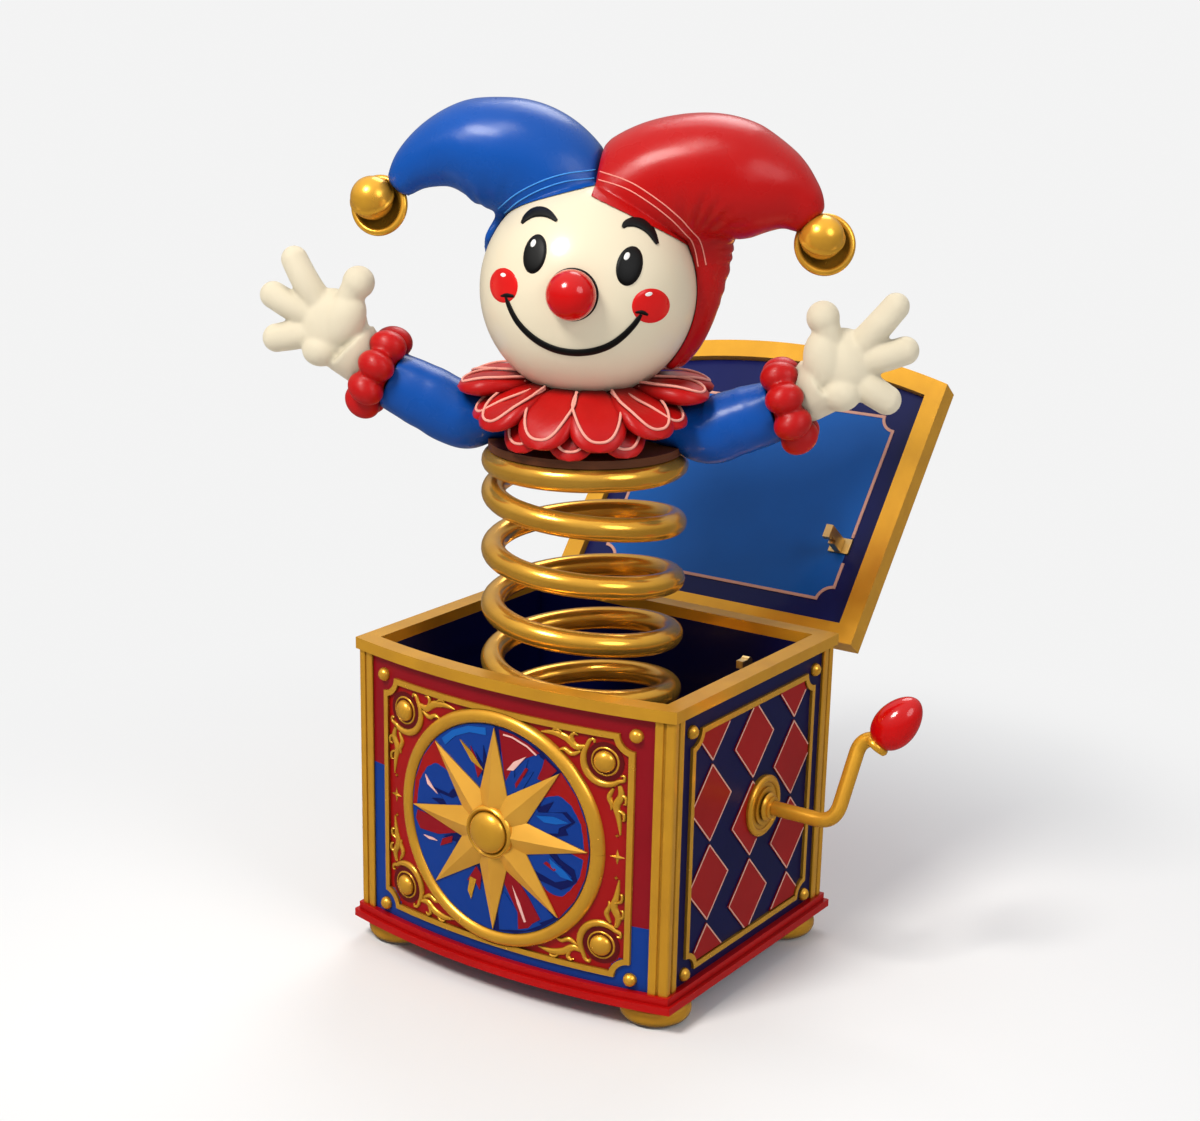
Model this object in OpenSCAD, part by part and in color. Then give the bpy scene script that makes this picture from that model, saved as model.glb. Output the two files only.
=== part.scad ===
// Jack in the box: a bow-fronted music box with a crank, a hinged lid and a
// jester on a coil spring. Millimetres. +Z is up, -Y is the front, +X is the
// crank side. The origin is on the floor, under the middle of the box.
// The toy is drawn popped open; the lid is drawn closed and then swung back.

/* [Box] */
// Width of the box across the front
box_w = 140; // [132:1:150]
// Depth of the box at its corners
box_d = 114; // [110:1:126]
// Height from the underside of the plinth to the top of the rim
box_h = 116; // [110:1:118]
// How far the front bows out at its middle
front_bow = 9; // [6:0.5:10]
// Thickness of the four walls
wall = 5; // [4:0.5:5.5]
// Thickness of the floor board
floor_t = 6; // [4:0.5:7]
// Height of a foot
foot_h = 9; // [7:0.5:10]
// Radius of a foot
foot_r = 13.5; // [10:0.5:14]
// Height of the plinth
plinth_h = 6; // [5:0.5:8]
// How far the plinth stands out from the walls
plinth_out = 4; // [3:0.5:5]

/* [Brass trim] */
// Height of the rim
rim_h = 4.5; // [4:0.5:6]
// How far the rim stands out from the walls
rim_out = 2.5; // [2:0.5:3.5]
// Width of each leg of a corner post
post_w = 6; // [5:0.5:7]
// Thickness of the corner posts
post_t = 1.4; // [1:0.1:1.8]
// Space between a corner post and the line frame beside it
frame_margin = 7; // [6:0.5:8]
// Space between the plinth and the line frame
frame_gap = 4; // [3:0.5:5]
// How much more space there is over the line frame than under it
frame_drop = 3; // [0:0.5:4]
// Width of the line of a frame
line_w = 2.2; // [1.6:0.2:3]
// How far the line stands out from the wall
line_t = 1.2; // [0.8:0.1:1.6]
// Radius of the notch in each corner of a frame
notch_r = 6; // [5:0.5:7]
// Radius of a stud
stud_r = 2.6; // [2:0.2:3]

/* [Medallion] */
// Space between the edge of the medallion and the outside of the line frame
medal_margin = 1; // [0.6:0.2:2]
// Radius of the ring's half-round section
ring_r = 2.8; // [2.2:0.2:3]
// Thickness of the disc over the middle of the bow
medal_t = 1.2; // [1:0.1:2]
// Number of points of the star
star_points = 8; // [6:2:12]
// Space between the star's tips and the edge of the medallion
star_gap = 6.2; // [6:0.2:9]
// Radius of the valleys between the star's points
star_in = 16; // [13:0.5:18]
// Height of the star at its hub
star_t = 5; // [3:0.5:6]
// Radius of the hub
hub_r = 9.8; // [8:0.2:10.4]
// Radius of the ring of a corner boss
boss_r = 5.5; // [4.5:0.5:6]
// Space between a corner boss and the line frame
boss_gap = 3.8; // [2.2:0.2:4.2]

/* [Harlequin sides] */
// Columns of red diamonds on a side
diamond_cols = 3; // [2:1:4]
// Rows of red diamonds on a side
diamond_rows = 3; // [2:1:4]
// Thickness of the inlaid diamonds
diamond_t = 0.6; // [0.4:0.1:0.8]

/* [Lid] */
// How far the lid stands open when the jack is up, in degrees
lid_open = 128; // [122:1:132]
// Thickness of the lid
lid_t = 9; // [8:0.5:11]
// Width of the lid's brass frame
lid_bar = 8; // [7.5:0.5:10]
// Depth of the hollow on the inside of the lid
lid_recess = 3.5; // [2.5:0.5:4.5]
// Thickness of the blue lining
lining_t = 1.6; // [1:0.2:2]
// Running gap between the closed lid and the rim
lid_gap = 0.4; // [0.3:0.1:0.8]
// How far the hinge pins lie below the top of the rim
hinge_drop = 6; // [5.5:0.1:7]
// Radius of the hinge barrels
barrel_r = 3; // [2.6:0.1:3.4]
// Radius of the hinge pins
hinge_pin_r = 1.25; // [1:0.05:1.5]
// Distance of each hinge from the middle of the box
hinge_x = 40; // [34:1:46]
// Length of one hinge knuckle
knuckle_l = 8; // [6:0.5:9]

/* [Crank] */
// Radius of the crank rod
rod_r = 2.9; // [2.5:0.1:3.2]
// Distance of the crank shaft behind the middle of the box
crank_y = 8; // [0:1:10]
// Height of the crank shaft above the floor
crank_z = 69; // [66:1:72]
// Reach of the straight part of the rod beyond the wall
crank_reach = 31.5; // [26:0.5:36]
// Throw of the crank
crank_throw = 34; // [28:1:38]
// How far the arm slants outwards
crank_slant = 2; // [0:1:8]
// Lean of the arm towards the back, in degrees
crank_lean = 25; // [0:1:30]
// Length of the handle beyond the arm
handle_l = 9; // [7:1:14]
// Radius of the egg knob
knob_r = 8; // [7:0.5:9]
// Length of the egg knob
knob_l = 23; // [20:1:26]
// Tilt of the egg knob, in degrees
knob_tilt = 60; // [30:1:70]
// Radius of the escutcheon
escutcheon_r = 12; // [10:0.5:14]
// Radial running clearance of a shaft in its bearing
running = 0.05; // [0.02:0.01:0.09]

/* [Music movement] */
// Module of the gear teeth
gear_module = 0.8; // [0.7:0.05:0.85]
// Teeth of the crank pinion
pinion_teeth = 12; // [12:1:14]
// Teeth of the cylinder gear
gear_teeth = 36; // [30:1:38]
// Thickness of the gears
gear_t = 4; // [3:0.5:5]
// Radius of the music cylinder
drum_r = 7; // [5.5:0.5:7.5]
// Radius of the cylinder's arbor
arbor_r = 1.5; // [1.2:0.1:1.8]
// Thickness of the movement's side plates
plate_t = 1.5; // [1.2:0.1:1.8]
// Distance between the movement's side plates
movement_w = 19; // [18:0.5:19.5]

/* [Spring] */
// Number of turns
spring_turns = 9; // [7:1:10]
// Mean radius of the coils
coil_r = 34; // [30:0.5:35]
// Radius of the spring wire
wire_r = 4.5; // [3.5:0.25:5]
// Height of the spring's top coil above the rim
spring_rise = 71; // [68:1:74]

/* [Doll] */
// How far the doll stands in front of the middle of the box
doll_forward = 12; // [10:0.5:12]
// Turn of the doll towards the crank side, in degrees
doll_yaw = 26; // [0:1:35]
// Radius of the head
head_r = 39.3; // [36:0.5:39.5]
// Upward tilt of the face, in degrees
head_pitch = 5; // [0:1:12]
// Sideways roll of the head, in degrees
head_roll = 5; // [0:1:10]
// Height of the head's centre above the rim
head_rise = 134; // [131:1:138]
// Radius of the nose
nose_r = 8.8; // [7:0.2:9.5]
// Radius of a cheek spot
cheek_r = 6.5; // [5:0.5:7]
// Thickness of the painted features
feature_t = 0.7; // [0.4:0.1:1]
// Thickness of the hat over the head
hat_t = 3; // [2:0.5:4]
// Radius of a hat bell
bell_r = 11; // [9:0.5:11]
// Number of petals in the ruff
petals = 12; // [8:2:12]
// Radius of a petal's tip
petal_r = 7.2; // [6:0.2:7.2]
// Radius of the circle through the petals
ruff_r = 38.5; // [36:0.5:39.5]
// Radius of the doll's body under the ruff
core_r = 20; // [18:0.5:21]

/* [Hidden] */
$fn = 64;

brass = "#d9a033";
lacquer_red = "#c0141a";
navy = "#0b1a55";
royal = "#1450a5";
cream = "#efe6cf";
ink = "#141414";

// Plan of the box: a rectangle whose front side is an arc.
bow_r = (pow(box_w / 2, 2) + pow(front_bow, 2)) / (2 * front_bow);
bow_y = bow_r - front_bow - box_d / 2;
bow_fn = 360;

base_z = foot_h;
rim_top = foot_h + box_h;
rim_z = rim_top - rim_h;
plinth_top = base_z + plinth_h;
floor_top = base_z + floor_t;
panel_h = rim_z - plinth_top;
panel_z = (rim_z + plinth_top) / 2;
inner_w = box_w - 2 * wall;

frame_h = panel_h - 2 * frame_gap - frame_drop;
frame_z = panel_z - frame_drop / 2;
front_frame_w = box_w - 2 * (post_w + frame_margin);
side_frame_w = box_d - 2 * (post_w + frame_margin) + 2;

medal_y = -(box_d / 2 + front_bow + medal_t);
medal_r = frame_h / 2 - medal_margin;
star_r = medal_r - star_gap;

pivot_y = box_d / 2 + rim_out + barrel_r + 0.4;
pivot_z = rim_top - hinge_drop;
lid_z = rim_top + lid_gap;
leaf_t = 1.2;
leaf_h = 5;

pinion_r = gear_module * pinion_teeth / 2;
gear_r = gear_module * gear_teeth / 2;
gear_distance = pinion_r + gear_r;
drum_z = crank_z - gear_distance;
movement_x1 = box_w / 2 - wall;
movement_x0 = movement_x1 - movement_w - 2 * plate_t;
gear_x = movement_x1 - plate_t - gear_t - 1.3;
drum_l = gear_x - movement_x0 - plate_t - 2.2;
drum_x = movement_x0 + plate_t + 1;

doll_y = -doll_forward;
seat_t = 2;
spring_z0 = floor_top + seat_t + wire_r;
spring_z1 = rim_top + spring_rise;
neck_z = spring_z1 + wire_r;
neck_t = 3;
core_z = neck_z + neck_t;
head_z = rim_top + head_rise;
dowel_r = 6;
touch = 0.1;

// ---------------------------------------------------------------- helpers

// Plan outline, grown outwards by g
module plan(g = 0) {
    intersection() {
        translate([-box_w / 2 - g, -box_d / 2 - front_bow - g - 1])
            square([box_w + 2 * g, box_d + front_bow + 2 * g + 1]);
        translate([0, bow_y]) circle(r = bow_r + g, $fn = bow_fn);
    }
}

// Ring between two growths of the plan
module plan_ring(outer, inner) {
    difference() {
        plan(outer);
        plan(inner);
    }
}

// Puts a flat drawing (x across, y up) on the bowed front, from a to b proud
module on_front(a, b) {
    intersection() {
        translate([0, 0, frame_z]) rotate([90, 0, 0])
            linear_extrude(box_d / 2 + front_bow + b + 1) children();
        translate([0, bow_y, base_z]) difference() {
            cylinder(r = bow_r + b, h = box_h, $fn = bow_fn);
            translate([0, 0, -1]) cylinder(r = bow_r + a, h = box_h + 2, $fn = bow_fn);
        }
    }
}

// Stands a flat drawing on the right (1), left (-1) or back (0) wall
module on_side(side, t) {
    translate([side * box_w / 2, side == 0 ? box_d / 2 : 0, frame_z])
        rotate([90, 0, side == 0 ? 180 : side * 90]) linear_extrude(t) children();
}

// Rectangle with concave round notches in its corners, i inside the first
module notched(w, h, i = 0) {
    difference() {
        square([w - 2 * i, h - 2 * i], center = true);
        for (x = [-1, 1], y = [-1, 1])
            translate([x * w / 2, y * h / 2]) circle(r = notch_r + i);
    }
}

module line_frame(w, h) {
    difference() {
        notched(w, h);
        notched(w, h, line_w);
    }
}

// Cylinder along +X
module rod_x(r, l) {
    rotate([0, 90, 0]) cylinder(r = r, h = l);
}

// Round bar between two points with a ball, a little wider, at each end
ball_more = 0.3;
module bar(a, b, r) {
    d = b - a;
    l = norm(d);
    translate(a) rotate([0, acos(d[2] / l), atan2(d[1], d[0])]) {
        cylinder(r = r, h = l);
        sphere(r = r + ball_more);
        translate([0, 0, l]) sphere(r = r + ball_more);
    }
}

// Tube through the points p with the radii r; ref is never along the path
function unit(v) = v / norm(v);
function tangent(p, i) = unit(p[min(i + 1, len(p) - 1)] - p[max(i - 1, 0)]);
function tube_ring(p, r, i, ref, n) =
    let (t = tangent(p, i), u = unit(ref - (ref * t) * t), v = cross(t, u))
    [for (k = [0:n - 1]) p[i] + r[i] * (cos(360 * k / n) * u + sin(360 * k / n) * v)];
module tube(p, r, ref, n) {
    m = len(p);
    points = [for (i = [0:m - 1]) each tube_ring(p, r, i, ref, n)];
    sides = [for (i = [0:m - 2], k = [0:n - 1]) let (a = i * n + k, b = i * n + (k + 1) % n)
        each [[a, a + n, b], [b, a + n, b + n]]];
    polyhedron(points, concat([[for (k = [0:n - 1]) k]], sides,
        [[for (k = [n - 1:-1:0]) (m - 1) * n + k]]));
}

// Involute gear, a tooth on +x
function involute(a) = tan(a) * 180 / PI - a;
module gear_shape(m, z) {
    rp = m * z / 2;
    rb = rp * cos(20);
    root = rp - 1.15 * m;
    tip = rp + 0.85 * m;
    half = 90 / z - 0.035 * 180 / PI / rp + involute(20);
    start = max(rb, root);
    flank = [for (k = [0:4]) let (r = start + (tip - start) * k / 4) [r, half - involute(acos(rb / r))]];
    tooth = concat([[root - 0.3, flank[0][1]]], flank);
    circle(r = root);
    for (i = [0:z - 1]) rotate(i * 360 / z)
        polygon(concat([for (q = tooth) q[0] * [cos(q[1]), -sin(q[1])]],
            [for (k = [len(tooth) - 1:-1:0]) tooth[k][0] * [cos(tooth[k][1]), sin(tooth[k][1])]]));
}

// -------------------------------------------------------------------- box

module floor_board() {
    color(navy) translate([0, 0, base_z]) linear_extrude(floor_t) plan(-wall);
}

module base_plinth() {
    cove = 3;
    color(lacquer_red) translate([0, 0, base_z]) {
        linear_extrude(plinth_h - cove) plan_ring(plinth_out, 0);
        translate([0, 0, plinth_h - cove]) linear_extrude(cove) plan_ring(plinth_out - 1.5, 0);
    }
}

module feet() {
    edge_r = foot_h / 2;
    color(brass) for (x = [-1, 1], y = [-1, 1])
        translate([x * (box_w / 2 + plinth_out - 0.5 - foot_r), y * (box_d / 2 + plinth_out - 0.5 - foot_r), 0])
            rotate_extrude() {
            square([foot_r - edge_r, foot_h]);
            intersection() {
                translate([foot_r - edge_r, edge_r]) circle(r = edge_r);
                translate([foot_r - edge_r, 0]) square([edge_r, foot_h]);
            }
        }
}

module front_wall() {
    color(lacquer_red) translate([0, 0, base_z]) linear_extrude(rim_z - base_z) difference() {
        plan();
        translate([0, bow_y]) circle(r = bow_r - wall, $fn = bow_fn);
    }
}

module back_wall() {
    color(navy) translate([-box_w / 2, box_d / 2 - wall, base_z]) cube([box_w, wall, rim_z - base_z]);
}

module side_wall(side) {
    color(navy) translate([0, 0, base_z]) linear_extrude(rim_z - base_z) intersection() {
        translate([side > 0 ? box_w / 2 - wall : -box_w / 2, -box_d / 2 - front_bow])
            square([wall, box_d + front_bow - wall]);
        translate([0, bow_y]) circle(r = bow_r - wall, $fn = bow_fn);
    }
}

module left_wall() {
    side_wall(-1);
}

module right_wall() {
    color(navy) difference() {
        side_wall(1);
        translate([box_w / 2 - wall - 1, crank_y, crank_z]) rod_x(bushing_r, wall + 2);
    }
}

module corner_posts() {
    leg = post_w + post_t;
    color(brass) translate([0, 0, plinth_top]) linear_extrude(panel_h)
        for (x = [-1, 1], y = [-1, 1]) intersection() {
            plan_ring(post_t, 0);
            translate([x * (box_w / 2 + post_t - leg / 2), y * (box_d / 2 + post_t - leg / 2)])
                square(leg, center = true);
        }
}

module top_rim() {
    color(brass) translate([0, 0, rim_z]) linear_extrude(rim_h) plan_ring(rim_out, -wall);
}

module front_line_frame() {
    color(brass) difference() {
        on_front(0, line_t) line_frame(front_frame_w, frame_h);
        translate([0, 0, frame_z]) rotate([90, 0, 0]) cylinder(r = medal_r, h = box_d);
    }
}

module side_line_frames() {
    color(brass) {
        for (side = [-1, 1]) on_side(side, line_t) line_frame(side_frame_w, frame_h);
        on_side(0, line_t) line_frame(front_frame_w, frame_h);
    }
}

// Domed head of a stud on a short round base
module dome(r, base) {
    cap_r = (r * r + pow(r * 0.8, 2)) / (1.6 * r);
    cylinder(r = r, h = base);
    translate([0, 0, base]) intersection() {
        translate([0, 0, r * 0.8 - cap_r]) sphere(r = cap_r);
        cylinder(r = r, h = r);
    }
}

// Studs sit in the notches, clear of the rim and the plinth
stud_clear = 0.2;
stud_z = frame_h / 2 + frame_gap - max(frame_gap, stud_r + stud_clear);
module frame_studs() {
    color(brass) for (x = [-1, 1], y = [-1, 1]) {
        difference() {
            translate([x * front_frame_w / 2, stud_y(front_frame_w / 2) + 0.8, frame_z + y * stud_z])
                rotate([90, 0, 0]) dome(stud_r, 1.6);
            translate([0, bow_y, base_z]) cylinder(r = bow_r, h = box_h, $fn = bow_fn);
        }
        for (side = [-1, 1])
            translate([side * box_w / 2, x * side_frame_w / 2, frame_z + y * stud_z])
                rotate([0, side * 90, 0]) dome(stud_r, 0.8);
        translate([x * front_frame_w / 2, box_d / 2, frame_z + y * stud_z])
            rotate([-90, 0, 0]) dome(stud_r, 0.8);
    }
}

// Where the front's outer face is at x
function stud_y(x) = bow_y - sqrt(bow_r * bow_r - x * x);

module medallion_disc() {
    color(royal) on_front(0, medal_t) circle(r = medal_r - 2 * ring_r, $fn = 128);
}

// The ring is bent to the bow and stands on the front
ring_over = 1.6;
module medallion_ring() {
    color(brass) on_front(0, medal_t + ring_over) difference() {
        circle(r = medal_r, $fn = 128);
        circle(r = medal_r - 2 * ring_r, $fn = 128);
    }
}

// Faceted star: a ridge runs out to each tip from a many-sided hole round the hub
module medallion_star() {
    edge_t = 0.8;
    n = 2 * star_points;
    hole_r = (hub_r + 0.05) / cos(180 / n);
    function at(i) = let (a = 90 + 180 * i / star_points) [cos(a), sin(a)];
    function reach(i) = i % 2 == 0 ? star_r : star_in;
    function ridge(i) = star_t + (edge_t - star_t) * hole_r / reach(i);
    points = concat(
        [for (i = [0:n - 1]) [each reach(i) * at(i), 0]], [for (i = [0:n - 1]) [each reach(i) * at(i), edge_t]],
        [for (i = [0:n - 1]) [each hole_r * at(i), 0]], [for (i = [0:n - 1]) [each hole_r * at(i), ridge(i)]]);
    faces = [for (i = [0:n - 1]) let (j = (i + 1) % n) each [
        [i, i + n, j + n], [i, j + n, j],
        [i + n, i + 3 * n, j + 3 * n], [i + n, j + 3 * n, j + n],
        [i + 3 * n, i + 2 * n, j + 2 * n], [i + 3 * n, j + 2 * n, j + 3 * n],
        [i + 2 * n, i, j], [i + 2 * n, j, j + 2 * n]]];
    color(brass) translate([0, medal_y, frame_z]) rotate([90, 0, 0]) polyhedron(points, faces);
}

module star_hub() {
    color(brass) translate([0, medal_y, frame_z]) rotate([90, 0, 0]) {
        cylinder(r = hub_r, h = star_t - 1);
        translate([0, 0, star_t - 1]) dome(hub_r - 1.6, 0.4);
    }
}

module corner_bosses() {
    boss_x = front_frame_w / 2 - line_w - boss_r - boss_gap;
    boss_z = frame_h / 2 - line_w - boss_r - boss_gap;
    root = 1.4;
    color(brass) for (x = [-1, 1], y = [-1, 1]) difference() {
        translate([x * boss_x, stud_y(boss_x) + root, frame_z + y * boss_z]) rotate([90, 0, 0]) {
            difference() {
                cylinder(r = boss_r, h = root + 1.4);
                translate([0, 0, root + 0.9]) cylinder(r = boss_r - 1.2, h = 2);
            }
            translate([0, 0, root + 0.8]) dome(boss_r * 0.7, 0.4);
        }
        translate([0, bow_y, base_z]) cylinder(r = bow_r, h = box_h, $fn = bow_fn);
    }
}

// Red diamonds of the harlequin pattern inside a frame of width w
module diamonds(w) {
    pitch_x = w / diamond_cols;
    pitch_y = frame_h / diamond_rows;
    trim = 0.5;
    intersection() {
        notched(w, frame_h, line_w + 0.4);
        for (i = [0:diamond_cols - 1], j = [0:diamond_rows])
            translate([(i + 0.5) * pitch_x - w / 2, (j + (i % 2) / 2) * pitch_y - frame_h / 2])
                polygon([[pitch_x / 2 - trim, 0], [0, pitch_y / 2 - trim],
                    [trim - pitch_x / 2, 0], [0, trim - pitch_y / 2]]);
    }
}

module diamonds_right() {
    color(lacquer_red) difference() {
        on_side(1, diamond_t) diamonds(side_frame_w);
        translate([box_w / 2 - 1, crank_y, crank_z]) rod_x(escutcheon_r, 3);
    }
}

module diamonds_others() {
    color(lacquer_red) {
        on_side(-1, diamond_t) diamonds(side_frame_w);
        on_side(0, diamond_t) diamonds(front_frame_w);
    }
}

// ------------------------------------------------------ crank and movement

bushing_r = rod_r + 1.8;
escutcheon_t = 2.4;
collar_l = 3;
collar_r = rod_r + 2.2;
collar_x = box_w / 2 + escutcheon_t + 0.3;
shaft_x0 = gear_x - 0.4;
elbow_x = box_w / 2 + crank_reach;

module crank_escutcheon() {
    color(brass) translate([box_w / 2, crank_y, crank_z]) rotate([0, 90, 0]) difference() {
        union() {
            cylinder(r = escutcheon_r, h = escutcheon_t - 0.9);
            cylinder(r = escutcheon_r * 0.62, h = escutcheon_t);
            translate([0, 0, escutcheon_t - 1.4]) rotate_extrude()
                translate([escutcheon_r - 1.6, 0]) circle(r = 1.4);
        }
        translate([0, 0, -3]) cylinder(r = escutcheon_r + 1, h = 3);
        translate([0, 0, -1]) cylinder(r = rod_r + 0.4, h = escutcheon_t + 2);
    }
}

module crank_bushing() {
    color(brass) translate([movement_x1 - plate_t, crank_y, crank_z]) difference() {
        rod_x(bushing_r, wall + plate_t);
        translate([-1, 0, 0]) rod_x(rod_r + running, wall + plate_t + 2);
    }
}

arm_top = [elbow_x + crank_slant, 0, crank_throw];
module crank_pose() {
    translate([0, crank_y, crank_z]) rotate([-crank_lean, 0, 0]) children();
}

module crank_rod() {
    color(brass) crank_pose() {
        translate([shaft_x0, 0, 0]) rod_x(rod_r, elbow_x - shaft_x0);
        bar([elbow_x, 0, 0], arm_top, rod_r);
        translate(arm_top) rod_x(rod_r, handle_l);
    }
}

// Egg: a half ellipse with its widest place below the middle
function egg(t) = [knob_r * sin(t) * (1 + 0.12 * cos(t)), knob_l / 2 * (1 - cos(t))];
module crank_knob() {
    steps = 16;
    color(lacquer_red) crank_pose() difference() {
        translate(arm_top + [handle_l - 1, 0, 0]) rotate([0, 90 - knob_tilt, 0])
            translate([0, 0, -2.5]) rotate_extrude()
                polygon(concat([[0, knob_l]], [for (k = [steps - 1:-1:1]) egg(180 * k / steps)], [[0, 0]]));
        translate(arm_top) rod_x(rod_r, handle_l);
        translate(arm_top) sphere(r = rod_r + ball_more);
    }
}

module crank_pinion() {
    color(brass) crank_pose() translate([gear_x, 0, 0]) rotate([0, 90, 0]) difference() {
        linear_extrude(gear_t) rotate(crank_lean) gear_shape(gear_module, pinion_teeth);
        translate([0, 0, -1]) cylinder(r = rod_r, h = gear_t + 2);
    }
}

module crank_collar() {
    color(brass) crank_pose() translate([collar_x, 0, 0]) difference() {
        rod_x(collar_r, collar_l);
        translate([-1, 0, 0]) rod_x(rod_r, collar_l + 2);
    }
}

module music_cylinder() {
    pins = 14;
    rows = 5;
    color("#d8c27a") translate([drum_x, crank_y, drum_z]) rotate([0, 90, 0]) difference() {
        union() {
            cylinder(r = drum_r, h = drum_l);
            for (j = [1:rows], i = [0:pins - 1]) if ((i * 5 + j * 3) % 4 == 0)
                rotate(i * 360 / pins + j * 7) translate([drum_r - 0.5, 0, j * drum_l / (rows + 1)])
                    rotate([0, 90, 0]) cylinder(r = 0.35, h = 1.1, $fn = 8);
            rotate(200) translate([0, 0, trip_x - drum_x]) rotate([0, 90, 0]) cylinder(r = 0.9, h = trip_r);
        }
        translate([0, 0, -1]) cylinder(r = arbor_r, h = drum_l + 2);
    }
}

module cylinder_gear() {
    color(brass) translate([gear_x, crank_y, drum_z]) rotate([0, 90, 0]) difference() {
        linear_extrude(gear_t) rotate(180 / gear_teeth) gear_shape(gear_module, gear_teeth);
        translate([0, 0, -1]) cylinder(r = arbor_r, h = gear_t + 2);
    }
}

module cylinder_arbor() {
    color("silver") translate([movement_x0, crank_y, drum_z]) rod_x(arbor_r, movement_x1 - movement_x0 - 0.3);
}

movement_y0 = crank_y - 27;
movement_y1 = crank_y + 20;
movement_z0 = drum_z - gear_r - 3;
movement_z1 = crank_z + 8;
comb_y0 = crank_y - drum_r - 1.2;
comb_l = 14;
comb_t = 1.1;
comb_shelf_t = 2;
module movement_frame() {
    plate_x = [movement_x0, movement_x1 - plate_t];
    color("#b9a15a") difference() {
        union() {
            for (x = plate_x) translate([x, movement_y0, movement_z0])
                cube([plate_t, movement_y1 - movement_y0, movement_z1 - movement_z0]);
            for (y = [movement_y0 + 2.5, movement_y1 - 2.5], z = [movement_z0 + 2.5, movement_z1 - 2.5])
                translate([movement_x0 + plate_t, y, z]) rod_x(1.8, movement_w);
            translate([movement_x0 + plate_t, comb_y0 - comb_l, drum_z - comb_t / 2 - comb_shelf_t])
                cube([movement_w, 8, comb_shelf_t]);
        }
        translate([gear_x - 0.8, crank_y, drum_z]) rod_x(gear_r + gear_module + 0.6, gear_t + 1.2);
        translate([movement_x0 - 1, crank_y, drum_z]) rod_x(arbor_r + running, movement_w + 2 * plate_t + 2);
        translate([movement_x1 - plate_t - 1, crank_y, crank_z]) rod_x(bushing_r, plate_t + 2);
        for (y = [comb_y0 - comb_l + 4]) for (x = comb_screw_x)
            translate([x, y, drum_z - 6]) cylinder(r = 0.9, h = 8);
    }
}

comb_x0 = drum_x + 0.4;
comb_w = drum_l - 0.8;
comb_screw_x = [comb_x0 + 2.5, comb_x0 + comb_w - 2.5];
module comb() {
    teeth = 9;
    slit = 0.4;
    pitch = comb_w / teeth;
    // The trip pin passes through a gap in the teeth
    gap_from = floor((trip_x - 1.5 - comb_x0) / pitch);
    gap_to = ceil((trip_x + 1.5 - comb_x0) / pitch);
    color("silver") translate([comb_x0, comb_y0 - comb_l, drum_z - comb_t / 2]) difference() {
        cube([comb_w, comb_l, comb_t]);
        for (i = [1:teeth - 1]) translate([i * pitch - slit / 2, 8, -1])
            cube([slit, comb_l, comb_t + 2]);
        translate([gap_from * pitch - slit / 2, comb_l - (trip_r - drum_r + 0.8 - 1.2), -1])
            cube([(gap_to - gap_from) * pitch + slit, comb_l, comb_t + 2]);
        for (x = comb_screw_x) translate([x - comb_x0, 4, -1]) cylinder(r = 0.9, h = comb_t + 2);
    }
}

module comb_screws() {
    color("silver") for (x = comb_screw_x)
        translate([x, comb_y0 - comb_l + 4, drum_z - comb_t / 2 - comb_shelf_t]) {
            cylinder(r = 0.9, h = comb_shelf_t + comb_t);
            translate([0, 0, comb_shelf_t + comb_t]) cylinder(r = 1.6, h = 1);
        }
}

// -------------------------------------------------------------- lid latch

trip_r = drum_r + 3.6;
lever_t = 3;
lever_x = drum_x + drum_l / 2 - lever_t / 2;
trip_x = lever_x + lever_t / 2;
lever_y = crank_y + 17;
lever_z = rim_top - 32;
lever_pin_r = 2;
tail = [crank_y + 8, drum_z + trip_r];
nose_z = rim_top - 7;
nose_reach = 5;

// Draws in the plane of the lever: first y, then z
module lever_plane(x, t) {
    translate([x, 0, 0]) rotate([90, 0, 90]) linear_extrude(t) children();
}

// Straight strip with round ends
module strip(a, b, r) {
    d = b - a;
    translate(a) {
        circle(r = r);
        rotate(atan2(d[1], d[0])) translate([0, -r]) square([norm(d), 2 * r]);
        translate(d) circle(r = r);
    }
}

module latch_bracket() {
    color("#b9a15a") translate([0, lever_y, lever_z]) {
        translate([lever_x + lever_t + 0.3, -5, -5]) cube([movement_x1 - lever_x - lever_t - 0.3, 10, 10]);
        translate([lever_x - 1.5, 0, 0]) rod_x(lever_pin_r, lever_t + 3);
        translate([lever_x - 1.5, 0, 0]) rod_x(lever_pin_r + 1, 1.2);
    }
}

module latch_lever() {
    color("#b9a15a") lever_plane(lever_x, lever_t) difference() {
        union() {
            strip([lever_y, lever_z], tail, 1.6);
            strip([lever_y, lever_z], [lever_y, nose_z], 2.2);
            translate([lever_y, lever_z]) circle(r = 4.2);
            translate([lever_y - nose_reach, nose_z - 1.5]) square([nose_reach, 3]);
        }
        translate([lever_y, lever_z]) circle(r = lever_pin_r + running);
    }
}

// ---------------------------------------------------------------- the lid

module swung_open() {
    translate([0, pivot_y, pivot_z]) rotate([-lid_open, 0, 0]) translate([0, -pivot_y, -pivot_z])
        children();
}

lid_lap = lid_bar - rim_out;
module lid_frame() {
    color(brass) swung_open() translate([0, 0, lid_z]) linear_extrude(lid_t) plan_ring(rim_out, -lid_lap);
}

module lid_lining() {
    color(royal) swung_open() translate([0, 0, lid_z + lid_recess]) linear_extrude(lining_t) plan(-lid_lap);
}

module lid_board() {
    board_z = lid_recess + lining_t;
    color(lacquer_red) swung_open() translate([0, 0, lid_z + board_z])
        linear_extrude(lid_t - board_z - 1) plan(-lid_lap);
}

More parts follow.
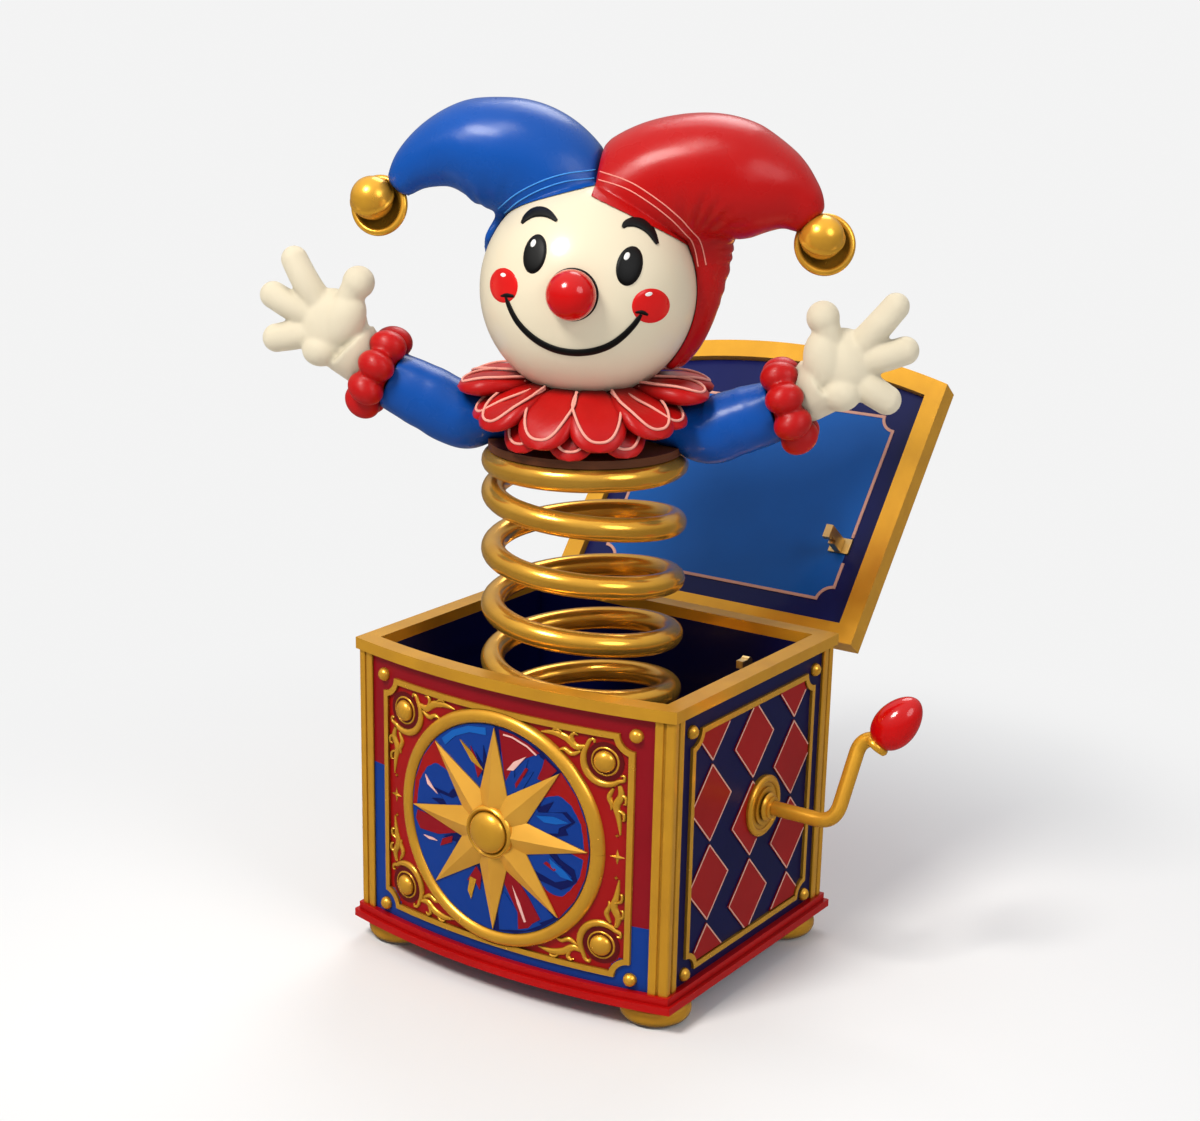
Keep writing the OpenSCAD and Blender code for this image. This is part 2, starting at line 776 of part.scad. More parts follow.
inlay_w = 1.2;
inlay_t = 0.4;
inlay_margin = 9;
module lid_inlay() {
    w = box_w - 2 * (lid_lap + inlay_margin);
    h = box_d - 2 * (lid_lap + inlay_margin);
    color("#e9c9a8") swung_open() translate([0, 0, lid_z + lid_recess - inlay_t]) linear_extrude(inlay_t)
        difference() {
            notched(w, h);
            notched(w, h, inlay_w);
            translate([lever_x - strike_foot - 0.2, lever_y - strike_reach])
                square([lever_t + 2 * strike_foot + 0.4, strike_reach]);
        }
}

module knuckles(from, n, r_bore) {
    for (x = [-1, 1], i = [from:2:n - 1])
        translate([x * hinge_x + (i - n / 2) * knuckle_l + 0.15, pivot_y, pivot_z]) difference() {
            rod_x(barrel_r, knuckle_l - 0.3);
            translate([-1, 0, 0]) rod_x(r_bore, knuckle_l + 2);
        }
}

// The box leaf lies on the back wall under the barrel
module box_leaf(n) {
    y0 = box_d / 2;
    for (x = [-1, 1]) {
        translate([x * hinge_x - n * knuckle_l / 2, y0, pivot_z - leaf_h]) cube([n * knuckle_l, leaf_t, leaf_h - 0.4]);
        for (i = [0:2:n - 1])
            translate([x * hinge_x + (i - n / 2) * knuckle_l + 0.15, y0, pivot_z - barrel_r])
                cube([knuckle_l - 0.3, pivot_y - y0, barrel_r - 0.4]);
    }
}

// The lid leaf passes clear of the rim and lies on the back of the lid
module lid_leaf(n) {
    y0 = box_d / 2 + rim_out;
    off = 0.3;
    for (x = [-1, 1]) {
        translate([x * hinge_x - n * knuckle_l / 2, y0, lid_z]) cube([n * knuckle_l, leaf_t + off, leaf_h]);
        translate([x * hinge_x - n * knuckle_l / 2, y0 + off, pivot_z + 0.4])
            cube([n * knuckle_l, leaf_t, lid_z - pivot_z]);
        for (i = [1:2:n - 1])
            translate([x * hinge_x + (i - n / 2) * knuckle_l + 0.15, y0 + off, pivot_z + 0.4])
                cube([knuckle_l - 0.3, pivot_y - y0 - off, barrel_r - 0.4]);
    }
}

module hinge_box_leaves() {
    color(brass) difference() {
        union() {
            knuckles(0, 3, 0.1);
            box_leaf(3);
        }
        for (x = [-1, 1]) translate([x * hinge_x - 20, pivot_y, pivot_z]) rod_x(hinge_pin_r, 40);
        middle_clear(barrel_r + 0.25);
    }
}

// Room for the other half's knuckle in the middle of each hinge
module middle_clear(r) {
    for (x = [-1, 1]) translate([x * hinge_x - knuckle_l / 2, pivot_y, pivot_z]) rod_x(r, knuckle_l);
}

module hinge_lid_leaves() {
    color(brass) swung_open() difference() {
        union() {
            knuckles(1, 3, 0.1);
            lid_leaf(3);
        }
        for (x = [-1, 1]) translate([x * hinge_x - 20, pivot_y, pivot_z]) rod_x(hinge_pin_r + running, 40);
        for (x = [-1, 1], s = [-1, 1])
            translate([x * hinge_x + s * knuckle_l - knuckle_l / 2, pivot_y, pivot_z])
                rod_x(barrel_r + 0.25, knuckle_l);
    }
}

module hinge_pins() {
    color(brass) for (x = [-1, 1])
        translate([x * hinge_x - 1.5 * knuckle_l - 0.8, pivot_y, pivot_z]) {
            rod_x(hinge_pin_r, 3 * knuckle_l + 1.6);
            rod_x(hinge_pin_r + 0.7, 0.8);
            translate([3 * knuckle_l + 0.8, 0, 0]) rod_x(hinge_pin_r + 0.7, 0.8);
        }
}

// Tongue under the lid with the notch that the latch catches in
strike_foot = 3;
strike_reach = 11.5;
module lid_strike() {
    top = lid_z + lid_recess;
    color("#b9a15a") swung_open() {
        lever_plane(lever_x, lever_t) difference() {
            translate([lever_y - nose_reach - 4.5, nose_z - 4.5]) square([5.5, top - nose_z + 4.5]);
            translate([lever_y - nose_reach - 0.5, nose_z - 1.5 - 0.5]) square([3, 4]);
        }
        translate([lever_x - strike_foot, lever_y - strike_reach + 1, top - 1.2])
            cube([lever_t + 2 * strike_foot, strike_reach - 4.9, 1.2]);
    }
}

// --------------------------------------------------------------- the jack

module in_doll() {
    translate([0, doll_y, 0]) rotate([0, 0, doll_yaw]) children();
}

module in_head() {
    in_doll() translate([0, 0, head_z]) rotate([-head_pitch, 0, 0]) rotate([0, head_roll, 0]) children();
}

module spring_seat() {
    clip_r = coil_r - wire_r - 0.3;
    color("#8a5a2b") translate([0, doll_y, floor_top]) difference() {
        union() {
            cylinder(r = coil_r + wire_r + 1.5, h = seat_t);
            cylinder(r = clip_r, h = seat_t + wire_r);
        }
        translate([0, 0, seat_t]) cylinder(r = clip_r - 5, h = wire_r + 1);
    }
}

// Left-handed coil with a closed turn at each end
module coil_spring() {
    per_turn = 22;
    n = spring_turns * per_turn;
    pitch = (spring_z1 - spring_z0) / (spring_turns - 1);
    path = [for (i = [0:n]) let (turn = i / per_turn, a = 200 - 360 * turn)
        [coil_r * cos(a), doll_y + coil_r * sin(a),
         spring_z0 + pitch * min(max(turn - 0.5, 0), spring_turns - 1)]];
    color(brass) tube(path, [for (q = path) wire_r], [0, 0, 1], 10);
}

plate_r = coil_r + 2;
module neck_plate() {
    color("#6b4423") translate([0, doll_y, neck_z]) cylinder(r = plate_r, h = neck_t);
}

module body_core() {
    color(lacquer_red) difference() {
        union() {
            translate([0, doll_y, core_z]) cylinder(r = core_r, h = head_z - head_r + 5 - core_z);
            translate([0, doll_y, core_z]) cylinder(r = dowel_r, h = head_z - head_r / 2 - core_z);
        }
        difference() {
            translate([0, doll_y, head_z]) sphere(r = head_r + touch, $fn = 96);
            translate([0, doll_y, core_z]) cylinder(r = dowel_r, h = head_r * 2);
        }
    }
}

ruff_t = 2;
ruff_z = head_z - head_r + 3.3;
// The ruff slopes down from its neck to the circle through the petals
ruff_slope = 6;
petal_droop = 10;
petal_lift = 8;
// The petals droop in front and behind and rise over the sleeves
module ruff() {
    root = core_r;
    edge = ruff_r - 2;
    color(lacquer_red) in_doll() {
        translate([0, 0, ruff_z]) rotate_extrude()
            polygon([[root, 0], [edge, -ruff_slope], [edge, ruff_t - ruff_slope], [root, ruff_t]]);
        for (i = [0:petals - 1]) let (a = 360 * (i + 0.5) / petals)
            rotate(a) translate([ruff_r, 0, ruff_z + ruff_t / 2 - petal_droop + petal_lift * pow(cos(a), 4)])
                sphere(r = petal_r, $fn = 32);
    }
}

module head() {
    color(cream) difference() {
        in_head() sphere(r = head_r, $fn = 96);
        translate([0, doll_y, core_z]) cylinder(r = dowel_r, h = head_z - head_r / 2 - core_z);
    }
}

// A flat drawing (x across, y up) laid on the face as a thin skin
module on_face(t) {
    in_head() intersection() {
        difference() {
            sphere(r = head_r + t, $fn = 96);
            sphere(r = head_r, $fn = 96);
        }
        rotate([90, 0, 0]) linear_extrude(head_r + t + 1) children();
    }
}

// Share by which the face and the hat grow with the head
face = head_r / 39.3;
nose_depth = head_r + 2.5;
module nose() {
    color(lacquer_red) in_head() rotate([90, 0, 0]) rotate_extrude() difference() {
        intersection() {
            translate([0, nose_depth]) circle(r = nose_r);
            translate([0, nose_depth - nose_r]) square([nose_r, 2 * nose_r]);
        }
        circle(r = head_r, $fn = 180);
    }
}

eye_x = 16.8 * face;
eye_z = 11.8 * face;
eye_w = 9 * face;
eye_l = 14 * face;
module eyes() {
    color(ink) on_face(feature_t) for (x = [-1, 1]) translate([x * eye_x, eye_z]) {
        square([eye_w, eye_l - eye_w], center = true);
        for (y = [-1, 1]) translate([0, y * (eye_l - eye_w) / 2]) circle(r = eye_w / 2);
    }
}

brow_x = 17.8 * face;
brow_z = 20.5 * face;
brow_r = 7 * face;
brow_w = 1.9 * face;
module eyebrows() {
    color(ink) on_face(feature_t) for (x = [-1, 1]) translate([x * brow_x, brow_z]) rotate(-x * 8)
        intersection() {
            difference() {
                circle(r = brow_r);
                translate([0, brow_w / -2]) circle(r = brow_r - brow_w / 2);
            }
            translate([-brow_r, brow_r / 5]) square([2 * brow_r, brow_r]);
        }
}

smile_x = 25.2 * face;
smile_top = -3 * face;
smile_low = -19.4 * face;
smile_w = 1.7 * face;
module mouth() {
    depth = smile_top - smile_low;
    r = (smile_x * smile_x + depth * depth) / (2 * depth);
    color(ink) on_face(feature_t) translate([0, smile_low + r]) intersection() {
        difference() {
            circle(r = r + smile_w / 2);
            circle(r = r - smile_w / 2);
        }
        translate([-smile_x, -r - 2]) square([2 * smile_x, depth + 2]);
    }
}

cheek_x = 26.2 * face;
cheek_z = -0.5 * face;
module cheeks() {
    color(lacquer_red) difference() {
        on_face(feature_t) for (x = [-1, 1]) translate([x * cheek_x, cheek_z]) circle(r = cheek_r);
        mouth();
    }
}

// Horns of the hat: centre line points as [x, z, radius], seen from the front
horn_blue = [[-14, 37.5, 21], [-23, 44, 20.8], [-34, 46.5, 20], [-44.7, 47.8, 17.4], [-54.5, 46.2, 13],
    [-64.2, 40.8, 9], [-70.9, 33.5, 5.2]];
horn_red = [[15, 31.5, 22], [24, 37, 22.5], [35, 40.5, 22], [46, 41.3, 21.4], [57, 38.8, 20], [66.8, 36, 15.8],
    [74, 32, 10.8], [79, 26.7, 6.4]];
horn_back = 7;
bell_blue = [-77.5, 26.5];
bell_red = [84, 18.5];
function horn_point(q, side) = [0, 0, head_z] + face * [q[0], horn_back * (1 - q[0] * side / 110), q[1]];
seam_gap = 0.1;
hat_low = -16;
hat_touch = 0.3;
hat_fn = 48;
// The blue half of the hood is cut on a slant and leaves the cheek bare
hood_slant = -44;
hood_side = 13;
module hat_half(side, horn) {
    difference() {
        union() {
            in_doll() tube([for (q = horn) horn_point(q, side)], [for (q = horn) face * q[2]], [0, 1, 0], 18);
            in_head() intersection() {
                sphere(r = head_r + hat_t, $fn = hat_fn);
                translate([side > 0 ? seam_gap : -60, 2, hat_low]) cube([60 - seam_gap, 60, 120]);
                if (side < 0) translate([0, 0, hood_side]) rotate([hood_slant, 0, 0]) translate([-60, -80, 0])
                    cube([60, 160, 90]);
            }
        }
        in_head() sphere(r = head_r + hat_touch, $fn = hat_fn);
        // Room for the eyebrows under the edge of the hat
        in_head() intersection() {
            sphere(r = head_r + feature_t + 0.4, $fn = hat_fn);
            for (x = [-1, 1]) translate([x * brow_x, 0, brow_z + brow_r / 2])
                rotate([90, 0, 0]) cylinder(r = brow_r + 0.6, h = head_r * 2, $fn = 24);
        }
        in_head() translate([side > 0 ? seam_gap - 60 : -seam_gap, -60, -60]) cube([60, 120, 160]);
    }
}

module hat_blue() {
    color(royal) hat_half(-1, horn_blue);
}

module hat_red() {
    color(lacquer_red) hat_half(1, horn_red);
}

module hat_bells() {
    color(brass) in_doll() for (b = [[bell_blue, horn_blue, -1], [bell_red, horn_red, 1]])
        let (c = horn_point(b[0], b[2]), d = unit(c - horn_point(b[1][len(b[1]) - 1], b[2]))) {
            translate(c) sphere(r = bell_r * 0.86);
            translate(c) rotate([0, acos(d[2]), atan2(d[1], d[0])]) cylinder(r = bell_r, h = 2.4, center = true);
        }
}

// Arms: centre line points as [x, z above the shoulders, radius], seen from the front
shoulder_z = ruff_z - 15;
arm_left = [[-17, 3, 6.4], [-33, 3, 7.4], [-45, 1.8, 12.2], [-57, 7.4, 12], [-73, 14.9, 11]];
arm_right = [[17, 3, 6.4], [33, 3, 7.4], [45, 0.8, 12.2], [56, 5, 12], [69.5, 10, 11.2]];
// Space between the sleeves and the top coil
coil_clear = 0.3;
// Height of the petals beside the arms, from the top of the ruff
side_petal_z = ruff_t / 2 - petal_droop + petal_lift * pow(cos(180 / petals), 4);
module sleeve(arm) {
    path = [for (q = arm) [q[0], 0, shoulder_z + q[1]]];
    color(royal) difference() {
        in_doll() tube(path, [for (q = arm) q[2]], [0, 1, 0], 16);
        translate([0, doll_y, core_z - 20]) cylinder(r = core_r, h = 60);
        translate([0, doll_y, neck_z]) cylinder(r = plate_r, h = neck_t);
        translate([0, doll_y, neck_z - 20]) cylinder(r = coil_r + wire_r + coil_clear, h = 20 + coil_clear);
        // Room for the sloping ruff and its petals
        in_doll() translate([0, 0, ruff_z]) rotate_extrude() polygon([
            [core_r, 0], [ruff_r - petal_r, -ruff_slope], [ruff_r - petal_r, side_petal_z - petal_r - 0.4],
            [ruff_r + 0.42 * petal_r, side_petal_z - petal_r - 0.4],
            [ruff_r + petal_r + 0.4, side_petal_z - 0.42 * petal_r], [ruff_r + petal_r + 0.4, 40], [core_r, 40]]);
    }
}

module sleeve_left() {
    sleeve(arm_left);
}

module sleeve_right() {
    sleeve(arm_right);
}

// Wrist of an arm: its last point and the angle of the forearm above level
function wrist(arm) = let (b = arm[len(arm) - 1], a = arm[len(arm) - 2])
    [b[0], b[1], atan2(b[1] - a[1], abs(b[0] - a[0])), sign(b[0])];
cuff_balls = 8;
cuff_r = 5.6;
cuff_ring = 12.2;
cuff_t = 3;
module in_wrist(w) {
    in_doll() translate([w[0], 0, shoulder_z + w[1]]) rotate([0, w[3] > 0 ? 90 - w[2] : w[2] - 90, 0]) children();
}

module cuffs() {
    color(lacquer_red) for (w = [wrist(arm_left), wrist(arm_right)]) in_wrist(w) {
        cylinder(r = cuff_ring - 1.5, h = cuff_t);
        for (i = [0:cuff_balls - 1]) rotate(360 * (i + 0.5) / cuff_balls) translate([cuff_ring, 0, cuff_r + 0.2])
            sphere(r = cuff_r, $fn = 32);
    }
}

// Fingertips relative to the palm, as [x, z], seen from the front
palm = 24.5;
palm_rise = 8;
palm_r = 13.5;
finger_r = 4.8;
tips_left = [[11.1, 17.4], [-13.5, 24.6], [-22, 11.1], [-21.1, -4.7]];
tips_right = [[-7.2, 18.2], [18.3, 22.9], [22.6, 7.2], [17.1, -10.9]];
module hand(w, tips) {
    centre = [w[0] + w[3] * palm * cos(w[2]), 0, shoulder_z + w[1] + palm * sin(w[2]) + palm_rise];
    in_wrist(w) translate([0, 0, cuff_t]) cylinder(r = 3.5, h = palm - cuff_t);
    in_doll() translate(centre) {
        rotate([90, 0, w[3] > 0 ? 180 : 0]) sphere(r = palm_r);
        for (t = tips) bar([t[0] * 0.25, -0.5, t[1] * 0.25], [t[0], -2, t[1]], finger_r);
    }
}

module hand_left() {
    color(cream) hand(wrist(arm_left), tips_left);
}

module hand_right() {
    color(cream) hand(wrist(arm_right), tips_right);
}

// ---------------------------------------------------------------- assembly

floor_board();
base_plinth();
feet();
front_wall();
back_wall();
left_wall();
right_wall();
corner_posts();
top_rim();
front_line_frame();
side_line_frames();
frame_studs();
medallion_disc();
medallion_ring();
medallion_star();
star_hub();
corner_bosses();
diamonds_right();
diamonds_others();
crank_escutcheon();
crank_bushing();
hinge_box_leaves();
hinge_pins();
movement_frame();
comb();
comb_screws();
latch_bracket();
spring_seat();
coil_spring();
crank_rod();
crank_knob();
crank_pinion();
crank_collar();
music_cylinder();
cylinder_gear();
cylinder_arbor();
latch_lever();
lid_frame();
lid_lining();
lid_board();
lid_inlay();
hinge_lid_leaves();
lid_strike();
neck_plate();
body_core();
ruff();
head();
nose();
eyes();
eyebrows();
mouth();
cheeks();
hat_blue();
hat_red();
hat_bells();
sleeve_left();
sleeve_right();
cuffs();
hand_left();
hand_right();
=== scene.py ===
"""Jack in the box: the looks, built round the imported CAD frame. Metres outside, millimetres inside the helpers."""
from math import atan2, copysign, cos, dist, exp, hypot, pi, radians, sin, sqrt

import bpy
import bmesh
import numpy as np
from mathutils import Matrix, Vector, noise
from mathutils.geometry import tessellate_polygon


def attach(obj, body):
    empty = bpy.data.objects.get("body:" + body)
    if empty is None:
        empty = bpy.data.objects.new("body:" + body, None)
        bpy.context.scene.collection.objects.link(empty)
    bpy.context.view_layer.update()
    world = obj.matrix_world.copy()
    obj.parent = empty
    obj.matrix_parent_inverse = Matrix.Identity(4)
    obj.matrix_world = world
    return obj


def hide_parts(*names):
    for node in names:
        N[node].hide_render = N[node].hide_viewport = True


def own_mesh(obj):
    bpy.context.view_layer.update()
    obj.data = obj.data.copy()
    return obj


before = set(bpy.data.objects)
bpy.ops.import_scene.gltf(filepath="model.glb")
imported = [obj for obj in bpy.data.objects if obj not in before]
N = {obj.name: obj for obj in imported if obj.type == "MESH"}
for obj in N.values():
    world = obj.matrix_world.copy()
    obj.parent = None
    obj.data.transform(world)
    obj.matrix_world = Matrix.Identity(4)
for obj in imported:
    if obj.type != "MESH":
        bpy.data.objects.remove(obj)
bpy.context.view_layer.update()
MM = 0.001
shift = Matrix.Translation


def spin(degrees, axis):
    return Matrix.Rotation(radians(degrees), 4, axis)


# The sizes of part.scad that the pieces need, in millimetres
BOX_W, BOX_D, BOX_H, BOW = 140.0, 114.0, 116.0, 9.0
FOOT_H, PLINTH_H, RIM_H = 9.0, 6.0, 4.5
POST_W, POST_T = 6.0, 1.4
LINE_W, NOTCH = 2.2, 6.0
FRAME_GAP, FRAME_DROP = 4.0, 3.0
RIM_TOP = FOOT_H + BOX_H
PANEL_LO, PANEL_HI = FOOT_H + PLINTH_H, RIM_TOP - RIM_H
PANEL_Z = (PANEL_LO + PANEL_HI - FRAME_DROP) / 2
FRAME_H = PANEL_HI - PANEL_LO - 2 * FRAME_GAP - FRAME_DROP
FRONT_W = BOX_W - 26
SIDE_W = BOX_D - 26 + 2
BOW_R = ((BOX_W / 2) ** 2 + BOW ** 2) / (2 * BOW)
BOW_Y = BOW_R - BOW - BOX_D / 2
MEDAL_R, MEDAL_T, RING_R = FRAME_H / 2 - 1, 1.2, 2.8
STAR_R, STAR_IN, STAR_T = MEDAL_R - 6.2, 16.0, 5.0
MEDAL_Y = -(BOX_D / 2 + BOW + MEDAL_T)
BOSS = 5.5 + 3.8
LID_OPEN, PIVOT_Y, PIVOT_Z, LID_LAP, RECESS = 128.0, 62.9, RIM_TOP - 6.0, 5.5, 3.5
CRANK_Y, CRANK_Z, LEAN, THROW, SLANT = 8.0, 69.0, 25.0, 34.0, 2.0
ELBOW_X, HANDLE_L, ROD_R, KNOB_R, KNOB_TILT = 101.5, 9.0, 2.9, 8.0, 60.0
DOLL_Y, YAW, HEAD_R, HEAD_Z = -12.0, 26.0, 39.3, RIM_TOP + 134.0
COIL_R, WIRE_R, TURNS = 34.0, 4.5, 9
SPRING_Z0, SPRING_Z1 = 21.5, RIM_TOP + 71.0

DOLL = shift((0, DOLL_Y, 0)) @ spin(YAW, "Z")
DOLL_HEAD = DOLL @ shift((0, 0, HEAD_Z))
HEAD = DOLL_HEAD @ spin(-5, "X") @ spin(5, "Y")
LID = shift((0, PIVOT_Y, PIVOT_Z)) @ spin(-LID_OPEN, "X") \
    @ shift((0, -PIVOT_Y, -PIVOT_Z))
CRANK = shift((0, CRANK_Y, CRANK_Z)) @ spin(-LEAN, "X")


# ------------------------------------------------------------------ materials

def feed(t, n, values):
    """Gives inputs of a node their values, or links them to the sockets given."""
    for key, value in values.items():
        if isinstance(value, bpy.types.NodeSocket):
            t.links.new(value, n.inputs[key])
        else:
            n.inputs[key].default_value = value


def node(t, kind, values=None, **settings):
    n = t.nodes.new("ShaderNode" + kind)
    for key, value in settings.items():
        setattr(n, key, value)
    feed(t, n, values or {})
    return n


def blend(t, share, a, b, mode="MIX"):
    return node(t, "Mix", {0: share, 6: a, 7: b}, data_type="RGBA", blend_type=mode).outputs[2]


def material(name, color, rough=0.4, metal=0.0, coat=0.0, coat_rough=0.06, sheen=0.0, sheen_tint=None,
             vary=0.06, vary_scale=45, rough_vary=0.06, bumps=(), crease_shade=0.0, hue=None, inside=None):
    """Principled material whose colour and roughness vary over the surface.

    bumps: (kind, scale per metre, depth in mm). crease: how much painted shade darkens the hollows, by ambient
    occlusion. hue: the colour it varies to.
    inside: the colour of faces that look to the back.
    """
    m = bpy.data.materials.new(name)
    m.use_nodes = True
    t = m.node_tree
    co = node(t, "TexCoord").outputs["Object"]

    def tex(kind, scale):
        if kind == "noise":
            return node(t, "TexNoise", {"Scale": scale, "Detail": 3.0, "Vector": co}).outputs[0]
        way = {"x": "X", "y": "Y", "z": "Z", "d": "DIAGONAL"}[kind[-1]]
        return node(t, "TexWave", {"Scale": scale, "Distortion": 1.2, "Detail": 1.0, "Vector": co},
                    bands_direction=way).outputs[1]

    dark = hue or [max(0.0, c * (1 - 2.2 * vary)) for c in color]
    light = [min(1.0, c * (1 + vary) + 0.02 * vary) for c in color]
    out = blend(t, tex("noise", vary_scale), (*dark, 1), (*light, 1))
    if inside:
        normal = node(t, "NewGeometry").outputs["True Normal"]
        y = node(t, "SeparateXYZ", {0: normal}).outputs[1]
        back = node(t, "Math", {0: y, 1: 0.3}, operation="GREATER_THAN").outputs[0]
        out = blend(t, back, out, (*inside, 1))
    # painted shade: the colour is darkened in hollows and where forms meet, by ambient occlusion
    if crease_shade:
        open_share = node(t, "AmbientOcclusion", {"Distance": 0.005}, samples=6).outputs["AO"]
        lift = node(t, "MapRange", {0: open_share, 1: 0.25, 2: 0.85, 3: 1 - crease_shade, 4: 1.0}).outputs[0]
        out = blend(t, 1.0, out, lift, "MULTIPLY")
    span = node(t, "MapRange", {0: tex("noise", vary_scale * 2.7), 3: max(0.02, rough - rough_vary),
                                4: min(1.0, rough + rough_vary)}).outputs[0]
    looks = {"Metallic": metal, "Specular IOR Level": 0.5 if metal else 0.2, "Coat Weight": coat,
             "Coat Roughness": coat_rough, "Sheen Weight": sheen, "Base Color": out, "Roughness": span}
    if sheen_tint:
        looks["Sheen Tint"] = (*sheen_tint, 1)
    for kind, scale, depth in bumps:
        below = {"Normal": looks["Normal"]} if "Normal" in looks else {}
        looks["Normal"] = node(t, "Bump", {"Strength": 1.0, "Distance": depth * MM, "Height": tex(kind, scale),
                                           **below}).outputs[0]
    feed(t, t.nodes["Principled BSDF"], looks)
    return m


LACQUER = dict(rough=0.3, coat=0.15, vary=0.08, crease_shade=0.4)
FIELD = dict(color=(0.33, 0.001, 0.001), rough=0.36, coat=0.1, vary=0.10, vary_scale=30,
             bumps=[("noise", 220, 0.02)])
ENAMEL = dict(rough=0.34, coat=0.1, vary_scale=60)
SATIN = dict(rough=0.28, coat=0.2, coat_rough=0.2, sheen=0.05, vary=0.10, vary_scale=30,
             bumps=[("wave_d", 900, 0.03), ("noise", 60, 0.14)], crease_shade=0.45)
NAVY_COLOR, ROSE = (0.0005, 0.002, 0.055), (1.0, 0.25, 0.2)

BRASS = material("gold_lacquered_brass", (0.95, 0.45, 0.03), rough=0.24, metal=0.55, vary=0.10, vary_scale=70,
                 hue=(0.72, 0.34, 0.03), bumps=[("noise", 900, 0.012), ("noise", 90, 0.05)], crease_shade=0.75)
BRASS_TRIM = material("gold_trim", (0.95, 0.47, 0.035), rough=0.25, metal=0.6, vary=0.10, vary_scale=90,
                      hue=(0.76, 0.36, 0.04), bumps=[("noise", 1400, 0.01)], crease_shade=0.8)
BRASS_STAR = material("gold_star", (0.90, 0.47, 0.06), rough=0.32, metal=0.45, vary=0.08, vary_scale=60,
                      hue=(0.78, 0.36, 0.035), bumps=[("noise", 2000, 0.008)], crease_shade=0.6)
BRASS_WIRE = material("gold_spring_wire", (0.90, 0.50, 0.07), rough=0.2, metal=0.75, vary=0.08, vary_scale=60,
                      hue=(0.70, 0.32, 0.03), bumps=[("noise", 700, 0.015)], crease_shade=0.6)
WORKS = material("stamped_brass", (0.72, 0.50, 0.20), rough=0.36, metal=1.0, vary_scale=120,
                 bumps=[("wave_z", 900, 0.01), ("noise", 700, 0.01)], crease_shade=0.4)
STEEL = material("blued_steel", (0.62, 0.63, 0.66), rough=0.3, metal=1.0, bumps=[("wave_y", 1200, 0.008)])
RED = material("red_lacquer", (0.46, 0.0008, 0.0008), vary_scale=24, bumps=[("noise", 160, 0.03)], **LACQUER)
RED_FIELD = material("red_field", crease_shade=0.6, **FIELD)
WALL_RED = material("red_wall_navy_inside", inside=NAVY_COLOR, **FIELD)
# painted shade: the dark red disc round each boss on the front
DARK_RED_SHADE = material("dark_red_painted_shade", (0.11, 0.001, 0.002), rough=0.4, coat=0.2, vary_scale=60)
CRIMSON = material("crimson_enamel", (0.25, 0.001, 0.007), rough=0.33, coat=0.12, vary_scale=50)
BLUE = material("blue_lacquer", (0.001, 0.036, 0.250), vary_scale=22, bumps=[("noise", 150, 0.03)], **LACQUER)
# also the painted highlight in the middle of the lid lining
BLUE_LIGHT = material("light_blue_enamel_and_lid_highlight", (0.001, 0.100, 0.42), **ENAMEL)
BLUE_DEEP = material("deep_blue_enamel", (0.001, 0.005, 0.085), **ENAMEL)
NAVY = material("navy_lacquer", NAVY_COLOR, rough=0.36, coat=0.03, vary=0.10, vary_scale=22,
                bumps=[("noise", 150, 0.03)], crease_shade=0.3)
INLAY = material("pale_line", (0.70, 0.36, 0.27), rough=0.4, coat=0.2, vary_scale=80)
# painted highlights: the white glints on the eyes and the cheeks
WHITE = material("white_painted_highlight", (0.88, 0.86, 0.82), rough=0.3, coat=0.4, vary_scale=80)
WOOD = material("turned_beech", (0.12, 0.035, 0.010), rough=0.45, vary=0.22, vary_scale=26,
                bumps=[("wave_z", 260, 0.05), ("noise", 400, 0.03)])
CREAM = material("cream_painted_head", (0.74, 0.65, 0.475), rough=0.33, coat=0.2, coat_rough=0.12, vary=0.03,
                 vary_scale=18, bumps=[("noise", 110, 0.05), ("noise", 900, 0.008)], crease_shade=0.25)
INK = material("black_enamel", (0.001, 0.001, 0.001), rough=0.5, vary=0.2, vary_scale=80)
NOSE = material("red_enamel", (0.56, 0.001, 0.001), rough=0.2, coat=0.5, coat_rough=0.03, vary=0.08, vary_scale=50,
                crease_shade=0.3)
CHEEK = material("cheek_paint", (0.66, 0.006, 0.005), rough=0.3, coat=0.2, vary=0.08, vary_scale=120)
SATIN_BLUE = material("blue_satin", (0.001, 0.068, 0.350), sheen_tint=(0.1, 0.4, 1.0), **SATIN)
SATIN_RED = material("red_satin", (0.47, 0.0008, 0.0008), sheen_tint=ROSE, **SATIN)
SATIN_PETAL = material("red_satin_petals", (0.47, 0.001, 0.001), rough=0.34, coat=0.15, coat_rough=0.25, sheen=0.05,
                       sheen_tint=ROSE, vary=0.12, vary_scale=60,
                       bumps=[("wave_z", 1000, 0.03), ("noise", 150, 0.2)], crease_shade=0.7)
# pale piping on the petals, which is also a painted highlight along their edges
PIPING_AND_HIGHLIGHT = material("pink_piping_and_highlight", (0.88, 0.36, 0.28), rough=0.45, sheen=0.2, vary_scale=200,
                  bumps=[("wave_d", 1500, 0.03)])
COTTON = material("cream_cotton", (0.70, 0.62, 0.46), rough=0.66, sheen=0.2, sheen_tint=(1.0, 0.95, 0.85),
                  vary=0.05, vary_scale=60, crease_shade=0.5,
                  bumps=[("wave_x", 1300, 0.03), ("wave_z", 1300, 0.03), ("noise", 120, 0.2)])
PAINT_PALE = material("pale_stroke", (0.80, 0.45, 0.40), rough=0.35, coat=0.1, vary_scale=120)
# pale thread lines on the hat's edge, which also stand as painted highlight
THREAD_AND_HIGHLIGHT_BLUE = material("pale_blue_stitch_and_highlight", (0.06, 0.30, 0.75), rough=0.6, vary_scale=300)
THREAD_AND_HIGHLIGHT_RED = material("pale_red_stitch_and_highlight", (0.88, 0.30, 0.24), rough=0.6, vary_scale=300)

